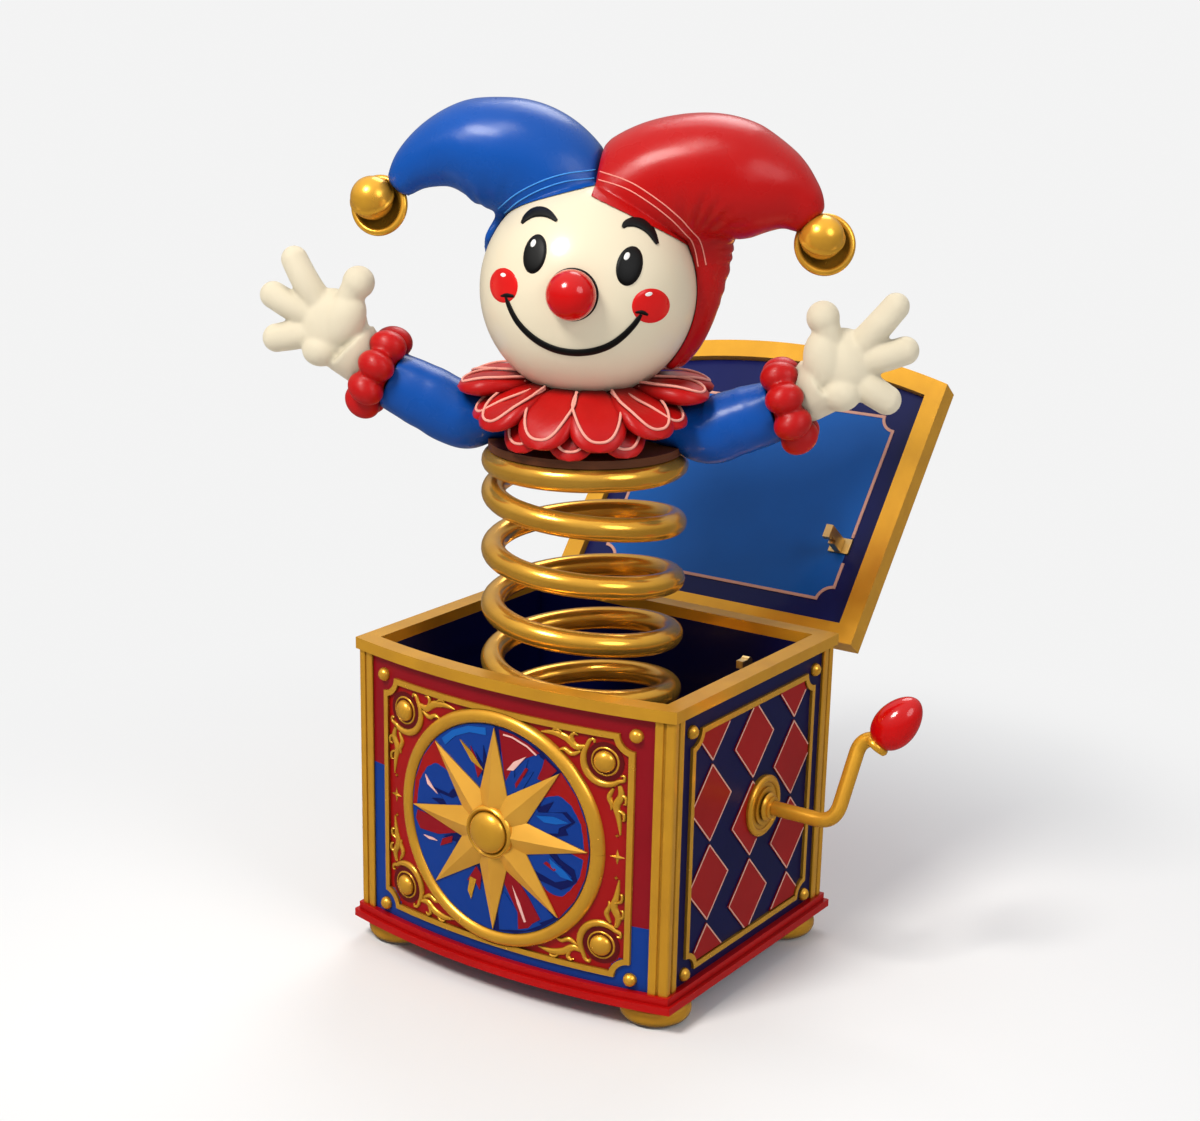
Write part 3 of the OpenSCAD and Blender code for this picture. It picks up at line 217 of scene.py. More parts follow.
CAD_LOOKS = {
    BRASS: "feet top_rim crank_escutcheon crank_bushing hinge_box_leaves hinge_pins crank_collar hinge_lid_leaves "
           "lid_frame",
    BRASS_TRIM: "front_line_frame side_line_frames frame_studs",
    WORKS: "movement_frame music_cylinder cylinder_gear crank_pinion latch_bracket latch_lever lid_strike",
    STEEL: "comb comb_screws cylinder_arbor",
    RED: "base_plinth lid_board",
    WALL_RED: "front_wall",
    RED_FIELD: "diamonds_right diamonds_others",
    NAVY: "back_wall left_wall right_wall floor_board",
    BLUE: "medallion_disc",
    BLUE_DEEP: "lid_lining",
    INLAY: "lid_inlay",
    WOOD: "neck_plate spring_seat body_core",
}
# Rounding of the CAD edges, in millimetres
BEVELS = {1.0: "base_plinth", 0.9: "lid_frame", 0.8: "top_rim neck_plate spring_seat", 0.6: "lid_board",
          0.5: "front_line_frame side_line_frames", 0.3: "feet latch_bracket latch_lever lid_strike",
          0.25: "diamonds_right diamonds_others hinge_box_leaves hinge_lid_leaves crank_escutcheon",
          0.2: "movement_frame", 0.12: "lid_inlay"}


def smooth(o, angle=35):
    for f in o.data.polygons:
        f.use_smooth = True
    o.data.set_sharp_from_angle(angle=radians(angle))


for look, names in CAD_LOOKS.items():
    for name in names.split():
        if not N[name].material_slots:
            N[name].data.materials.append(look)
        for slot in N[name].material_slots:
            slot.material = look
        smooth(N[name], 30)
for width, names in BEVELS.items():
    for name in names.split():
        b = N[name].modifiers.new("edge", "BEVEL")
        b.width, b.segments = width * MM, 3
        b.limit_method, b.angle_limit = "ANGLE", radians(35)
        b.harden_normals = True


# -------------------------------------------------------------------- helpers

def add_object(name, data):
    o = bpy.data.objects.new(name, data)
    bpy.context.scene.collection.objects.link(o)
    return o


def add_mesh(name, verts, faces):
    me = bpy.data.meshes.new(name)
    me.from_pydata([Vector(v) * MM for v in verts], [], faces)
    me.validate()
    return add_object(name, me)


def face_out(me):
    bm = bmesh.new()
    bm.from_mesh(me)
    bmesh.ops.recalc_face_normals(bm, faces=bm.faces)
    bm.to_mesh(me)
    bm.free()


def piece(name, verts, faces, mats, body, slot=None, replaces=(), M=None, index=None, angle=50, padded=None):
    """A mesh piece from points in millimetres, moved by M, riding on a CAD body."""
    o = add_mesh(name, [M @ Vector(v) for v in verts] if M else verts, faces)
    for m in (mats if isinstance(mats, list) else [mats]):
        o.data.materials.append(m)
    if index and len(index) == len(o.data.polygons):
        o.data.polygons.foreach_set("material_index", index)
    return dress(o, body, slot, replaces, angle, padded)


def dress(o, body, slot=None, replaces=(), angle=50, padded=None):
    face_out(o.data)
    smooth(o, angle)
    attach(o, body)
    if replaces:
        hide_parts(*replaces)
    return o


class Bag:
    """Collects several forms into one mesh."""

    def __init__(self):
        self.v, self.f, self.i = [], [], []

    def add(self, verts, faces, idx=0, M=None):
        base = len(self.v)
        self.v += [M @ Vector(p) if M else Vector(p) for p in verts]
        self.f += [tuple(base + k for k in f) for f in faces]
        self.i += [idx] * len(faces)
        return self

    def put(self, form, M, idx=0):
        """Adds a form, its (verts, faces), moved by M."""
        return self.add(*form, idx, M)

    def make(self, name, mats, body, **kw):
        return piece(name, self.v, self.f, mats, body, index=self.i, **kw)


def grid_faces(rows, cols, wrap=False):
    out = []
    for r in range(rows - 1):
        for c in range(cols if wrap else cols - 1):
            a, b = r * cols + c, r * cols + (c + 1) % cols
            out.append((a, b, b + cols, a + cols))
    return out


def circle(r, n):
    """Points of a circle; the last falls on the first."""
    return [(r * cos(a), r * sin(a)) for a in np.linspace(0, 2 * pi, n)]


def tangents(path):
    last = len(path) - 1
    return [(path[min(i + 1, last)] - path[max(i - 1, 0)]).normalized() for i in range(last + 1)]


def lathe(profile, n=48):
    """Revolves (r, z) points round Z. Ends with r = 0 close in a point."""
    verts, faces, rings = [], [], []
    for r, z in profile:
        ring = [(0, 0, z)] if r < 1e-6 else \
            [(r * cos(2 * pi * k / n), r * sin(2 * pi * k / n), z) for k in range(n)]
        rings.append(range(len(verts), len(verts) + len(ring)))
        verts += ring
    for a, b in zip(rings, rings[1:]):
        for k in range(n):
            f = dict.fromkeys((a[k % len(a)], a[(k + 1) % len(a)], b[(k + 1) % len(b)], b[k % len(b)]))
            if len(f) > 2:
                faces.append(tuple(f))
    return verts, faces


def meridian(r, start, end, n):
    """Points of a ball's profile between two angles from its lower pole."""
    return [(r * sin(t), -r * cos(t)) for t in np.linspace(start, end, n)]


def ball(r, start, rings, n):
    """Sphere whose first and last ring stand start radians from its poles."""
    return lathe([(0, -r)] + meridian(r, start, pi - start, rings) + [(0, r)], n)


def end_faces(n, total):
    """Faces that close a row of sections with n points each."""
    return [tuple(range(n)), tuple(range(total - n, total))]


def tube(path, radii, n=16, ref=(0, 0, 1)):
    """Closed tube along points, with one radius or a radius at each."""
    path = [Vector(p) for p in path]
    radii = [float(r) for r in radii] if hasattr(radii, "__len__") else [radii] * len(path)
    ref = Vector(ref)
    verts = []
    for p, r, t in zip(path, radii, tangents(path)):
        u = (ref - ref.dot(t) * t).normalized()
        v = t.cross(u)
        verts += [p + r * (cos(2 * pi * k / n) * u + sin(2 * pi * k / n) * v) for k in range(n)]
    faces = grid_faces(len(path), n, wrap=True)
    for ring, p, t in ((0, path[0], path[0] - path[1]), (len(path) - 1, path[-1], path[-1] - path[-2])):
        verts.append(p + t.normalized() * radii[ring] * 0.25)
        faces += [(ring * n + k, ring * n + (k + 1) % n, len(verts) - 1) for k in range(n)]
    return verts, faces


def spline(pts, per=12):
    """Catmull-Rom curve through the points, each a tuple of any length."""
    a = np.array(pts, float)
    a = np.vstack([2 * a[0] - a[1], a, 2 * a[-1] - a[-2]])
    out = []
    for p, q, r, s in zip(a, a[1:], a[2:], a[3:]):
        for k in range(per):
            t = k / per
            out.append(0.5 * (2 * q + (r - p) * t + (2 * p - 5 * q + 4 * r - s) * t * t
                              + (3 * q - p - 3 * r + s) * t ** 3))
    return [tuple(float(c) for c in p) for p in out + [a[-2]]]


def remeshed(name, bag, voxel, rounds, factor=0.5):
    """Joins the overlapping closed forms of a bag into one skin and smooths it."""
    o = add_mesh(name, bag.v, bag.f)
    face_out(o.data)
    r = o.modifiers.new("join", "REMESH")
    r.mode, r.voxel_size = "VOXEL", voxel * MM
    s = o.modifiers.new("soften", "SMOOTH")
    s.factor, s.iterations = factor, rounds
    apply_modifiers(o)
    return o


def apply_modifiers(o):
    deps = bpy.context.evaluated_depsgraph_get()
    deps.update()
    old = o.data
    me = bpy.data.meshes.new_from_object(o.evaluated_get(deps))
    o.modifiers.clear()
    o.data = me
    me.name = o.name
    bpy.data.meshes.remove(old)


def front_y(x):
    return BOW_Y - sqrt(BOW_R ** 2 - x * x)


def on_front(x, z, h):
    """A point h proud of the bowed front, z from the middle of the panel."""
    return Vector((x, front_y(x) - h, PANEL_Z + z))


def on_disc(x, z, h):
    return on_front(x, z, MEDAL_T + h)


def on_lid(x, y, h):
    """A point h proud of the lining of the open lid; x and y as on the closed lid."""
    return LID @ Vector((x, y, RIM_TOP + 0.4 + RECESS - h))


def shape(bag, outline, h, place, idx=0, step=3.0):
    """Thin plate of any outline, cut small enough to follow a bent surface."""
    pts = []
    for p, q in zip(outline, outline[1:] + outline[:1]):
        n = max(1, int(dist(p, q) / step))
        pts += [(p[0] + (q[0] - p[0]) * i / n, p[1] + (q[1] - p[1]) * i / n) for i in range(n)]
    tris = tessellate_polygon([[Vector((x, y, 0)) for x, y in pts]])
    verts = [place(x, y, z) for z in (h, -0.1) for x, y in pts]
    bag.add(verts, [tuple(t) for t in tris] + grid_faces(2, len(pts), wrap=True), idx)


def ribbon(bag, path, widths, height, place, n=8):
    """Half-round band along (u, v) points, laid on a surface by place(u, v, h)."""
    pts = [Vector(p) for p in path]
    if not hasattr(widths, "__len__"):
        widths = [widths] * len(pts)
    top = max(widths)
    verts = []
    for p, w, t in zip(pts, widths, tangents(pts)):
        side, w = Vector((-t.y, t.x)), max(w, 0.02)
        for k in range(n + 1):
            a = pi * k / n
            q = p + side * w * cos(a)
            verts.append(place(q.x, q.y, height * min(1, 0.35 + 0.65 * w / top) * sin(a) - 0.05))
    bag.add(verts, grid_faces(len(pts), n + 1) + end_faces(n + 1, len(verts)))


# ------------------------------------------------------------------- the front

PAINT_CELL, PAINT_T = 0.9, 0.12


def in_notched(x, z, w, h, r):
    """Whether a point is in a w by h rectangle with corners notched by r."""
    return abs(x) <= w / 2 and abs(z) <= h / 2 and hypot(abs(x) - w / 2, abs(z) - h / 2) > r


def front_paint():
    """Paint on the front: a red field inside the line frame and a two-colour border outside it."""
    lo, hi = PANEL_LO - PANEL_Z, PANEL_HI - PANEL_Z
    half = BOX_W / 2 - POST_W
    nx, nz = int(2 * half / PAINT_CELL), int((hi - lo) / PAINT_CELL)

    def at(i, j):
        return -half + 2 * half * i / nx, lo + (hi - lo) * j / nz

    verts = [on_front(*at(i, j), PAINT_T) for j in range(nz + 1) for i in range(nx + 1)]
    idx = []
    for j in range(nz):
        for i in range(nx):
            x, z = at(i + 0.5, j + 0.5)
            blue = z < -FRAME_H / 2 + 1 or (x < 0 and z < 10) or (x > 0 and z < -26)
            field = in_notched(x, z, FRONT_W - LINE_W, FRAME_H - LINE_W, NOTCH + LINE_W / 2)
            idx.append(0 if field else 2 if blue else 1)
    piece("front_paint", verts, grid_faces(nz + 1, nx + 1), [RED_FIELD, CRIMSON, BLUE], "box", slot="red_lacquer",
          index=idx)


# Half the section of a corner post: (distance from the corner, height over the wall), for a leg of LEG
LEG = 8.4
POST = [(8.4, 0.0), (8.4, 0.9), (8.0, 1.3), (5.3, 1.4), (4.9, 1.3), (4.6, 0.75), (4.2, 0.6), (3.8, 0.75), (3.5, 1.3),
        (3.1, 1.45), (0.9, 1.5)]


def posts():
    """Corner posts with a groove down each leg."""
    leg = (POST_W + POST_T) / LEG
    prof = [(d * leg, h) for d, h in POST]
    bag = Bag()
    for sx in (-1, 1):
        for sy in (-1, 1):
            cx, cy = sx * (BOX_W / 2 + POST_T), sy * (BOX_D / 2 + POST_T)

            def wall(x):
                return front_y(x) if sy < 0 else BOX_D / 2

            ring = [(cx - sx * s, wall(cx - sx * s) + sy * h) for s, h in prof]
            ring.append((cx - sx * 0.25, cy - sy * 0.25))
            ring += [(sx * (BOX_W / 2 + h), cy - sy * s) for s, h in prof[::-1]]
            ring.append((sx * BOX_W / 2, cy - sy * LEG * leg))
            ring.append((sx * (BOX_W / 2 - 0.3), wall(BOX_W / 2) - sy * 0.3))
            n = len(ring)
            verts = [(x, y, z) for z in (PANEL_LO, PANEL_HI) for x, y in ring]
            bag.add(verts, grid_faces(2, n, wrap=True) + end_faces(n, 2 * n))
    bag.make("corner_posts_grooved", BRASS, "box", slot="brass_trim", replaces=["corner_posts"], angle=25)


def wedge(a):
    """The eighth of the disc from a degrees on."""
    return [(a, .24), (a, 1), (a + 15, 1), (a + 30, 1), (a + 45, 1), (a + 45, .24)]


# Painted shapes of the medallion: material, height, then (degrees clockwise from the top, share of the radius)
R_, B_, L_, D_, C_, W_, G_ = range(7)
PAINT = [
    (B_, 0, wedge(-45)),
    (L_, 1, [(-40, .97), (-30, .985), (-18, .985), (-6, .97), (-6, .90), (-18, .925), (-30, .925), (-40, .90)]),
    (D_, 1, [(-14, .42), (-17, .74), (-12, .62), (-9, .80), (-6, .58), (-4, .42)]),
    (C_, 2, [(-22, .50), (-20, .80), (-17, .66), (-14, .56)]),
    (G_, 3, [(-23, .66), (-27, .88), (-20, .74), (-12, .56), (-17, .66)]),
    (D_, 0, wedge(0)),
    (C_, 1, [(3, .98), (12, .985), (22, .98), (30, .975), (24, .84), (20, .70), (16, .50), (11, .58), (6, .78)]),
    (B_, 2, [(8, .34), (10, .60), (14, .50), (18, .72), (22, .60), (26, .84), (29, .66), (33, .78), (34, .58),
             (38, .46), (30, .32)]),
    (C_, 2, [(34, .97), (43, .98), (43, .80), (38, .76), (36, .88)]),
    (W_, 3, [(13, .63), (19, .66), (24, .86), (17, .74)]),
    (W_, 3, [(6, .955), (12, .965), (22, .96), (29, .945), (29, .93), (22, .945), (12, .95), (6, .94)]),
    (C_, 3, [(25, .55), (27, .76), (29, .76), (28, .52)]),
    (R_, 0, wedge(45)),
    (D_, 1, [(50, .26), (51, .66), (56, .60), (57, .76), (63, .64), (66, .84), (73, .90), (77, .78), (81, .80),
             (85, .56), (86, .26)]),
    (B_, 2, [(52, .30), (55, .56), (60, .56), (66, .80), (73, .86), (76, .72), (80, .70), (82, .30)]),
    (L_, 3, [(62, .52), (67, .70), (73, .83), (73, .70), (70, .58)]),
    (R_, 0, wedge(90)),
    (D_, 1, [(94, .26), (95, .66), (100, .72), (103, .88), (109, .94), (114, .90), (120, .84), (127, .62), (130, .26)]),
    (B_, 2, [(98, .30), (99, .60), (104, .70), (108, .88), (112, .84), (118, .76), (122, .56), (124, .30)]),
    (L_, 3, [(103, .62), (107, .80), (110, .90), (112, .78), (109, .66)]),
    (C_, 3, [(107, .60), (109, .72), (111, .70), (110, .58)]),
    (D_, 0, wedge(135)),
    (B_, 1, [(147, .97), (158, .98), (176, .98), (176, .66), (168, .60), (160, .80), (150, .88)]),
    (C_, 2, [(150, .40), (146, .70), (146, .92), (152, .93), (156, .96), (163, .96), (160, .80), (166, .52),
             (160, .38)]),
    (W_, 3, [(157, .54), (155.5, .72), (156, .90), (157.5, .90), (158, .72)]),
    (B_, 0, wedge(180)),
    (D_, 1, [(184, .40), (184, .62), (190, .52), (196, .60), (204, .44), (210, .50), (216, .34), (196, .30)]),
    (C_, 2, [(196, .50), (194, .66), (202, .60), (208, .66), (206, .46)]),
    (G_, 3, [(200, .58), (199, .80), (204, .74), (207, .60)]),
    (B_, 0, wedge(225)),
    (D_, 1, [(232, .30), (234, .60), (242, .50), (250, .64), (256, .30)]),
    (C_, 2, [(252, .42), (252, .70), (256, .93), (262, .97), (267, .94), (264, .60), (262, .40)]),
    (W_, 3, [(247, .74), (250, .80), (252, .90), (249, .84)]),
    (C_, 3, [(243, .56), (243, .72), (248, .66), (249, .52)]),
    (R_, 0, wedge(270)),
    (D_, 1, [(273, .26), (273, .62), (277, .60), (279, .76), (284, .62), (288, .76), (292, .58),
             (300, .56), (308, .40), (310, .26)]),
    (B_, 2, [(275, .30), (276, .56), (282, .58), (287, .68), (291, .52), (298, .48), (304, .30)]),
    (W_, 3, [(285, .70), (288, .78), (292, .90), (287, .84)]),
]


def polar(a, r):
    return r * sin(radians(a)), r * cos(radians(a))


def medallion():
    """Painted wedges between the points of a faceted star, all following the bow of the front."""
    wedges, ring, star = Bag(), Bag(), Bag()
    R = MEDAL_R - 2 * RING_R - 0.1
    for idx, level, pts in PAINT:
        shape(wedges, [polar(a, q * R) for a, q in pts], PAINT_T + 0.09 * level, on_disc, idx)
    wedges.make("medallion_wedges", [RED_FIELD, BLUE, BLUE_LIGHT, BLUE_DEEP, CRIMSON, PAINT_PALE, BRASS_TRIM], "box",
                slot="blue_lacquer", angle=20)
    ribbon(ring, circle(MEDAL_R - RING_R, 161), RING_R, 2.9, on_front, n=14)
    ring.make("medallion_ring_round", BRASS_TRIM, "box", slot="brass_trim", replaces=["medallion_ring"])
    steps, near, edge = 8, 8.8, 0.7
    n = steps + 1
    for i in range(16):
        rays = [(22.5 * k, STAR_IN if k % 2 else STAR_R) for k in (i, i + 1)]
        verts = []
        for a, far in rays:
            high = STAR_T + (edge - STAR_T) * near / far
            verts += [on_disc(*polar(a, near + (far - near) * t / steps), high + (edge - high) * t / steps)
                      for t in range(n)]
        verts += [on_disc(*polar(a, far), -0.2) for a, far in rays]
        star.add(verts, grid_faces(2, n) + [(n - 1, 2 * n - 1, 2 * n + 1, 2 * n)])
    star.make("compass_star", BRASS_STAR, "box", slot="brass_trim", replaces=["medallion_star"], angle=8)
    hub = [(10.3, -0.5), (10.3, 2.8), (10.0, 3.8), (9.3, 4.3), (8.6, 4.0), (8.2, 3.4)]
    hub += [(8.1 * cos(t), 3.4 + 4.3 * sin(t)) for t in np.linspace(0, pi / 2, 12)[:-1]] + [(0, 7.7)]
    piece("star_hub_dome", *lathe(hub, 64), BRASS_TRIM, "box", slot="brass_trim", replaces=["star_hub"], angle=40,
          M=shift((0, MEDAL_Y, PANEL_Z)) @ spin(90, "X"))


# Leafy tails of the scrolls, from the middle of the boss, each with its half width
TAILS = [
    ([(-8.0, 4.2), (-11.5, 3.6), (-15.5, 6.2), (-20.5, 7.2), (-26.0, 6.6)], 1.5),
    ([(-9.5, 2.2), (-13.0, 0.6), (-16.0, 1.8), (-18.5, 1.2)], 1.0),
    ([(-12.0, 4.2), (-13.4, 7.2), (-12.2, 8.6), (-10.8, 8.0)], 0.8),
    ([(5.6, -8.2), (6.4, -12.0), (4.6, -16.0), (5.6, -20.5), (6.4, -27.0)], 1.5),
    ([(3.4, -9.6), (1.8, -13.0), (3.0, -16.0), (2.6, -18.0)], 1.0),
    ([(6.2, -11.5), (8.3, -12.6), (8.4, -14.6), (7.2, -15.2)], 0.8),
    ([(5.2, -17.5), (7.6, -18.8), (7.8, -21.0), (6.8, -21.4)], 0.7),
    ([(-17.0, 6.4), (-18.2, 8.6), (-20.4, 8.8), (-20.8, 7.9)], 0.7),
]
DOME_R, DOME_BASE, DOME_H = 4.1, 0.5, 2.8
SHADE_DISC_R, BEAD_R, SCROLL_R = 7.2, 5.1, 8.6


def scrollwork():
    """Gilt scrolls round the four bosses, with leafy tails along the frame, and a small spark at each side."""
    bag = Bag()
    bx, bz = FRONT_W / 2 - LINE_W - BOSS, FRAME_H / 2 - LINE_W - BOSS
    # a dark red disc under each boss and its bead ring: painted shade round the boss
    shade_disc = circle(SHADE_DISC_R, 40)[:-1]
    middle = sum((Vector(p) for p in shade_disc), Vector((0, 0))) / len(shade_disc)
    n = len(shade_disc)
    shade_disc_faces = [(0, 1 + k, 1 + (k + 1) % n) for k in range(n)]
    shade_disc_faces += [tuple(1 + i for i in f) for f in grid_faces(2, n, wrap=True)]
    dome = [(x, z, DOME_BASE + DOME_H * sin(j / 8 * pi / 2)) for j in range(9)
            for x, z in circle(DOME_R * cos(j / 8 * pi / 2), 33)[:-1]]
    # the C scroll opens towards the frame's corner
    arc = [(SCROLL_R * cos(radians(a)), SCROLL_R * sin(radians(a))) for a in range(148, 313, 8)]
    scroll = spline([(-4.3, 6.4), (-4.6, 7.6), (-6.2, 7.0)] + arc + [(7.4, -6.0), (7.4, -4.4), (6.2, -4.6)], 3)
    swell = [0.35 + 1.15 * sin(pi * ((i + 1) / len(scroll))) ** 0.8 for i in range(len(scroll))]
    for sx in (-1, 1):
        for sz in (-1, 1):
            def place(u, v, h):
                return on_front(sx * (bx + u), sz * (bz + v), h)

            verts = [place(*middle, 0.35)] + [place(*p, h) for h in (0.35, -0.05) for p in shade_disc]
            bag.add(verts, shade_disc_faces, 1)
            bag.add([place(*p) for p in dome], grid_faces(9, 32, wrap=True))
            ribbon(bag, circle(BEAD_R, 49), 0.5, 0.8, place)
            ribbon(bag, scroll, swell, 1.5, place)
            for tail, w in TAILS:
                path = spline(tail, 8)
                n = len(path)
                widths = [max(0.12, w * (sin(pi * (0.12 + 0.88 * i / n)) ** 0.7)) for i in range(n)]
                ribbon(bag, path, widths, 1.2, place)
    for sx in (-1, 1):
        for x, z, r in ((sx * (bx + 5.4), 0, 3.0), (sx * (bx + 5.2), 8.2, 0.9), (sx * (bx + 5.2), -8.2, 0.9)):
            verts = [on_front(x, z, 1.0)]
            for k in range(8):
                a, q = pi * k / 4, r * 0.32 if k % 2 else r
                verts.append(on_front(x + q * cos(a), z + q * sin(a), 0.2))
            bag.add(verts, [(0, 1 + k, 1 + (k + 1) % 8) for k in range(8)])
    bag.make("front_scrollwork", [BRASS_TRIM, DARK_RED_SHADE], "box", slot="brass_trim", replaces=["corner_bosses"], angle=40)


# The pale lines keep off the crank's escutcheon and lie on the diamonds
ESCUTCHEON_R, DIAMOND_T = 12.6, 0.58


def side_lines():
    """Thin pale lines along the edges of the diamonds on the two sides and the back."""
    bag = Bag()
    sides = [(lambda u, v, h: Vector((BOX_W / 2 + h, u, PANEL_Z + v)), SIDE_W),
             (lambda u, v, h: Vector((-BOX_W / 2 - h, -u, PANEL_Z + v)), SIDE_W),
             (lambda u, v, h: Vector((-u, BOX_D / 2 + h, PANEL_Z + v)), FRONT_W)]
    pz = FRAME_H / 3
    for which, (place, w) in enumerate(sides):
        px = w / 3

        def seen(p):
            if which == 0 and hypot(p.x - CRANK_Y, PANEL_Z + p.y - CRANK_Z) <= ESCUTCHEON_R:
                return False
            return (abs(p.x) < w / 2 - LINE_W - 0.4 and abs(p.y) < FRAME_H / 2 - LINE_W - 0.4
                    and hypot(abs(p.x) - w / 2, abs(p.y) - FRAME_H / 2) > NOTCH + LINE_W + 0.6)

        for i in range(3):
            for j in range(4):
                cu, cv = (i + 0.5) * px - w / 2, (j + (i % 2) / 2) * pz - FRAME_H / 2
                corners = [Vector(p) for p in ((cu + px / 2 - 1.0, cv), (cu, cv + pz / 2 - 0.9),
                                               (cu - px / 2 + 1.0, cv), (cu, cv - pz / 2 + 0.9))]
                for a, b in zip(corners, corners[1:] + corners[:1]):
                    run = []
                    for s in range(25):
                        p = a.lerp(b, s / 24)
                        if seen(p):
                            run.append(p)
                        elif run:
                            break
                    if len(run) > 2:
                        ribbon(bag, run, 0.32, 0.3, lambda u, v, h: place(u, v, h + DIAMOND_T), n=4)
    bag.make("harlequin_lines", INLAY, "box", slot="red_lacquer")


def lid_panel():
    """The lighter blue field inside the notched line of the lid: painted highlight on the blue lining."""
    border, line = LID_LAP + 9, 1.2
    w, d = BOX_W - 2 * border - 2 * line, BOX_D - 2 * border - 2 * line
    r = NOTCH + line
    out = []
    for sx, sy, a0 in ((1, 1, 270), (-1, 1, 360), (-1, -1, 90), (1, -1, 180)):
        cx, cy = sx * (w / 2 + line), sy * (d / 2 + line)
        for k in range(9):
            a = radians(a0 - 90 * k / 8)
            out.append((max(-w / 2, min(w / 2, cx + r * cos(a))), max(-d / 2, min(d / 2, cy + r * sin(a)))))
    bag = Bag()
    shape(bag, out, 0.14, on_lid, step=400)
    bag.make("lid_painted_highlight_panel", BLUE_LIGHT, "lid", slot="blue_lacquer")


# ------------------------------------------------------------------- the crank

ROD_X0, SHOULDER_AT, KNOB_L = 57.8, 72.7, 23.0


def crank():
    elbow, top = Vector((ELBOW_X, 0, 0)), Vector((ELBOW_X + SLANT, 0, THROW))
    start, end = Vector((ROD_X0, 0, 0)), top + Vector((HANDLE_L, 0, 0))

    def corner(p, q, r, radius):
        u, w = (p - q).normalized(), (r - q).normalized()
        return [(1 - t) ** 2 * (q + u * radius) + 2 * t * (1 - t) * q + t * t * (q + w * radius)
                for t in np.linspace(0, 1, 12)]

    path = [start, (70, 0, 0), (84, 0, 0), *corner(start, elbow, top, 7.5), *corner(elbow, top, end, 6.5), end]
    bag = Bag().put(tube(path, ROD_R, n=24, ref=(0, 1, 0)), CRANK)
    # ferrule at the knob and a small shoulder at the escutcheon
    at_knob = CRANK @ shift(top + Vector((HANDLE_L - 1, 0, 0))) @ spin(90 - KNOB_TILT, "Y") @ shift((0, 0, -2.5))
    bag.put(lathe([(2.6, -1.6), (4.4, -1.2), (4.9, -0.2), (4.6, 1.0), (3.6, 1.8), (0, 1.9)], 32), at_knob)
    shoulder = [(3.0, 0), (5.2, 0.1), (5.6, 0.8), (5.2, 1.5), (4.3, 1.9), (4.3, 2.6), (3.6, 3.0), (2.9, 3.0)]
    bag.put(lathe(shoulder, 32), CRANK @ shift((SHOULDER_AT, 0, 0)) @ spin(90, "Y"))
    bag.make("crank_bent_rod", BRASS, "crank", slot="brass_trim", replaces=["crank_rod", "crank_collar"])
    egg = [(KNOB_R * sin(t) * (1 + 0.12 * cos(t)), KNOB_L / 2 * (1 - cos(t)))
           for t in [pi * k / 24 for k in range(1, 24)]]
    piece("crank_egg_knob", *lathe([(0, 0)] + egg + [(0, KNOB_L)], 48), NOSE, "crank", slot="red_lacquer",
          replaces=["crank_knob"], M=at_knob)


# ---------------------------------------------------------------------- spring

COIL_START, COIL_STEPS = 200, 56


def spring():
    pitch = (SPRING_Z1 - SPRING_Z0) / (TURNS - 1)
    path = []
    for i in range(TURNS * COIL_STEPS + 1):
        turn = i / COIL_STEPS
        a = radians(COIL_START - 360 * turn)
        rise = min(max(turn - 0.5, 0), TURNS - 1)
        path.append((COIL_R * cos(a), DOLL_Y + COIL_R * sin(a), SPRING_Z0 + pitch * rise))
    o = piece("spring_wire", *tube(path, WIRE_R, n=20), BRASS_WIRE, "box", slot="brass_spring",
              replaces=["coil_spring"])
    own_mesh(o)


# ------------------------------------------------------------------------ face

NOSE_R = 8.8
BROWS = ([(-22.8, 21.2), (-21.6, 23.3), (-19.5, 25.2), (-16.5, 26.0), (-13.2, 25.6), (-9.6, 23.8)],
         [(13.3, 24.3), (14.4, 25.8), (16.8, 26.6), (19.5, 26.0), (22.6, 23.8), (25.4, 20.0)])
MOUTH = [(-24.4, -4.2), (-22.8, -7.4), (-19.5, -11.9), (-14.9, -15.7), (-9.8, -18.4), (-3.8, -20.0), (2.6, -20.1),
         (8.7, -18.8), (14.1, -16.2), (18.2, -12.6), (21.6, -8.2), (23.8, -4.2)]
MOUTH_ENDS = ([(-26.6, -4.4), (-24.2, -3.7), (-21.2, -3.5)], [(21.8, -3.6), (24.0, -3.4), (26.0, -4.2)])


def on_ball(x, z, h):
    q = HEAD_R + h
    return Vector((x, -sqrt(max(q * q - x * x - z * z, 0.01)), z))


def face_disc(bag, x0, z0, rx, rz, height, tilt=0.0, n=40, rings=9):
    """Raised paint or enamel spot on the face."""
    ca, sa = cos(radians(tilt)), sin(radians(tilt))
    verts = []
    for j in range(rings):
        t = j / (rings - 1)
        h = height * ((1 - t ** 4) ** 0.5) if t < 1 else -0.15
        for k in range(n):
            a = 2 * pi * k / n
            x, z = rx * t * cos(a), rz * t * sin(a)
            verts.append(on_ball(x0 + x * ca - z * sa, z0 + x * sa + z * ca, h))
    bag.add(verts, grid_faces(rings, n, wrap=True))


def stroke(bag, pts, per, thin, swell, power, height, start=0.5):
    """A brush line on the face, thickest in its middle."""
    path = spline(pts, per)
    n = len(path)
    ribbon(bag, path, [thin + swell * sin(pi * (i + start) / n) ** power for i in range(n)], height, on_ball)


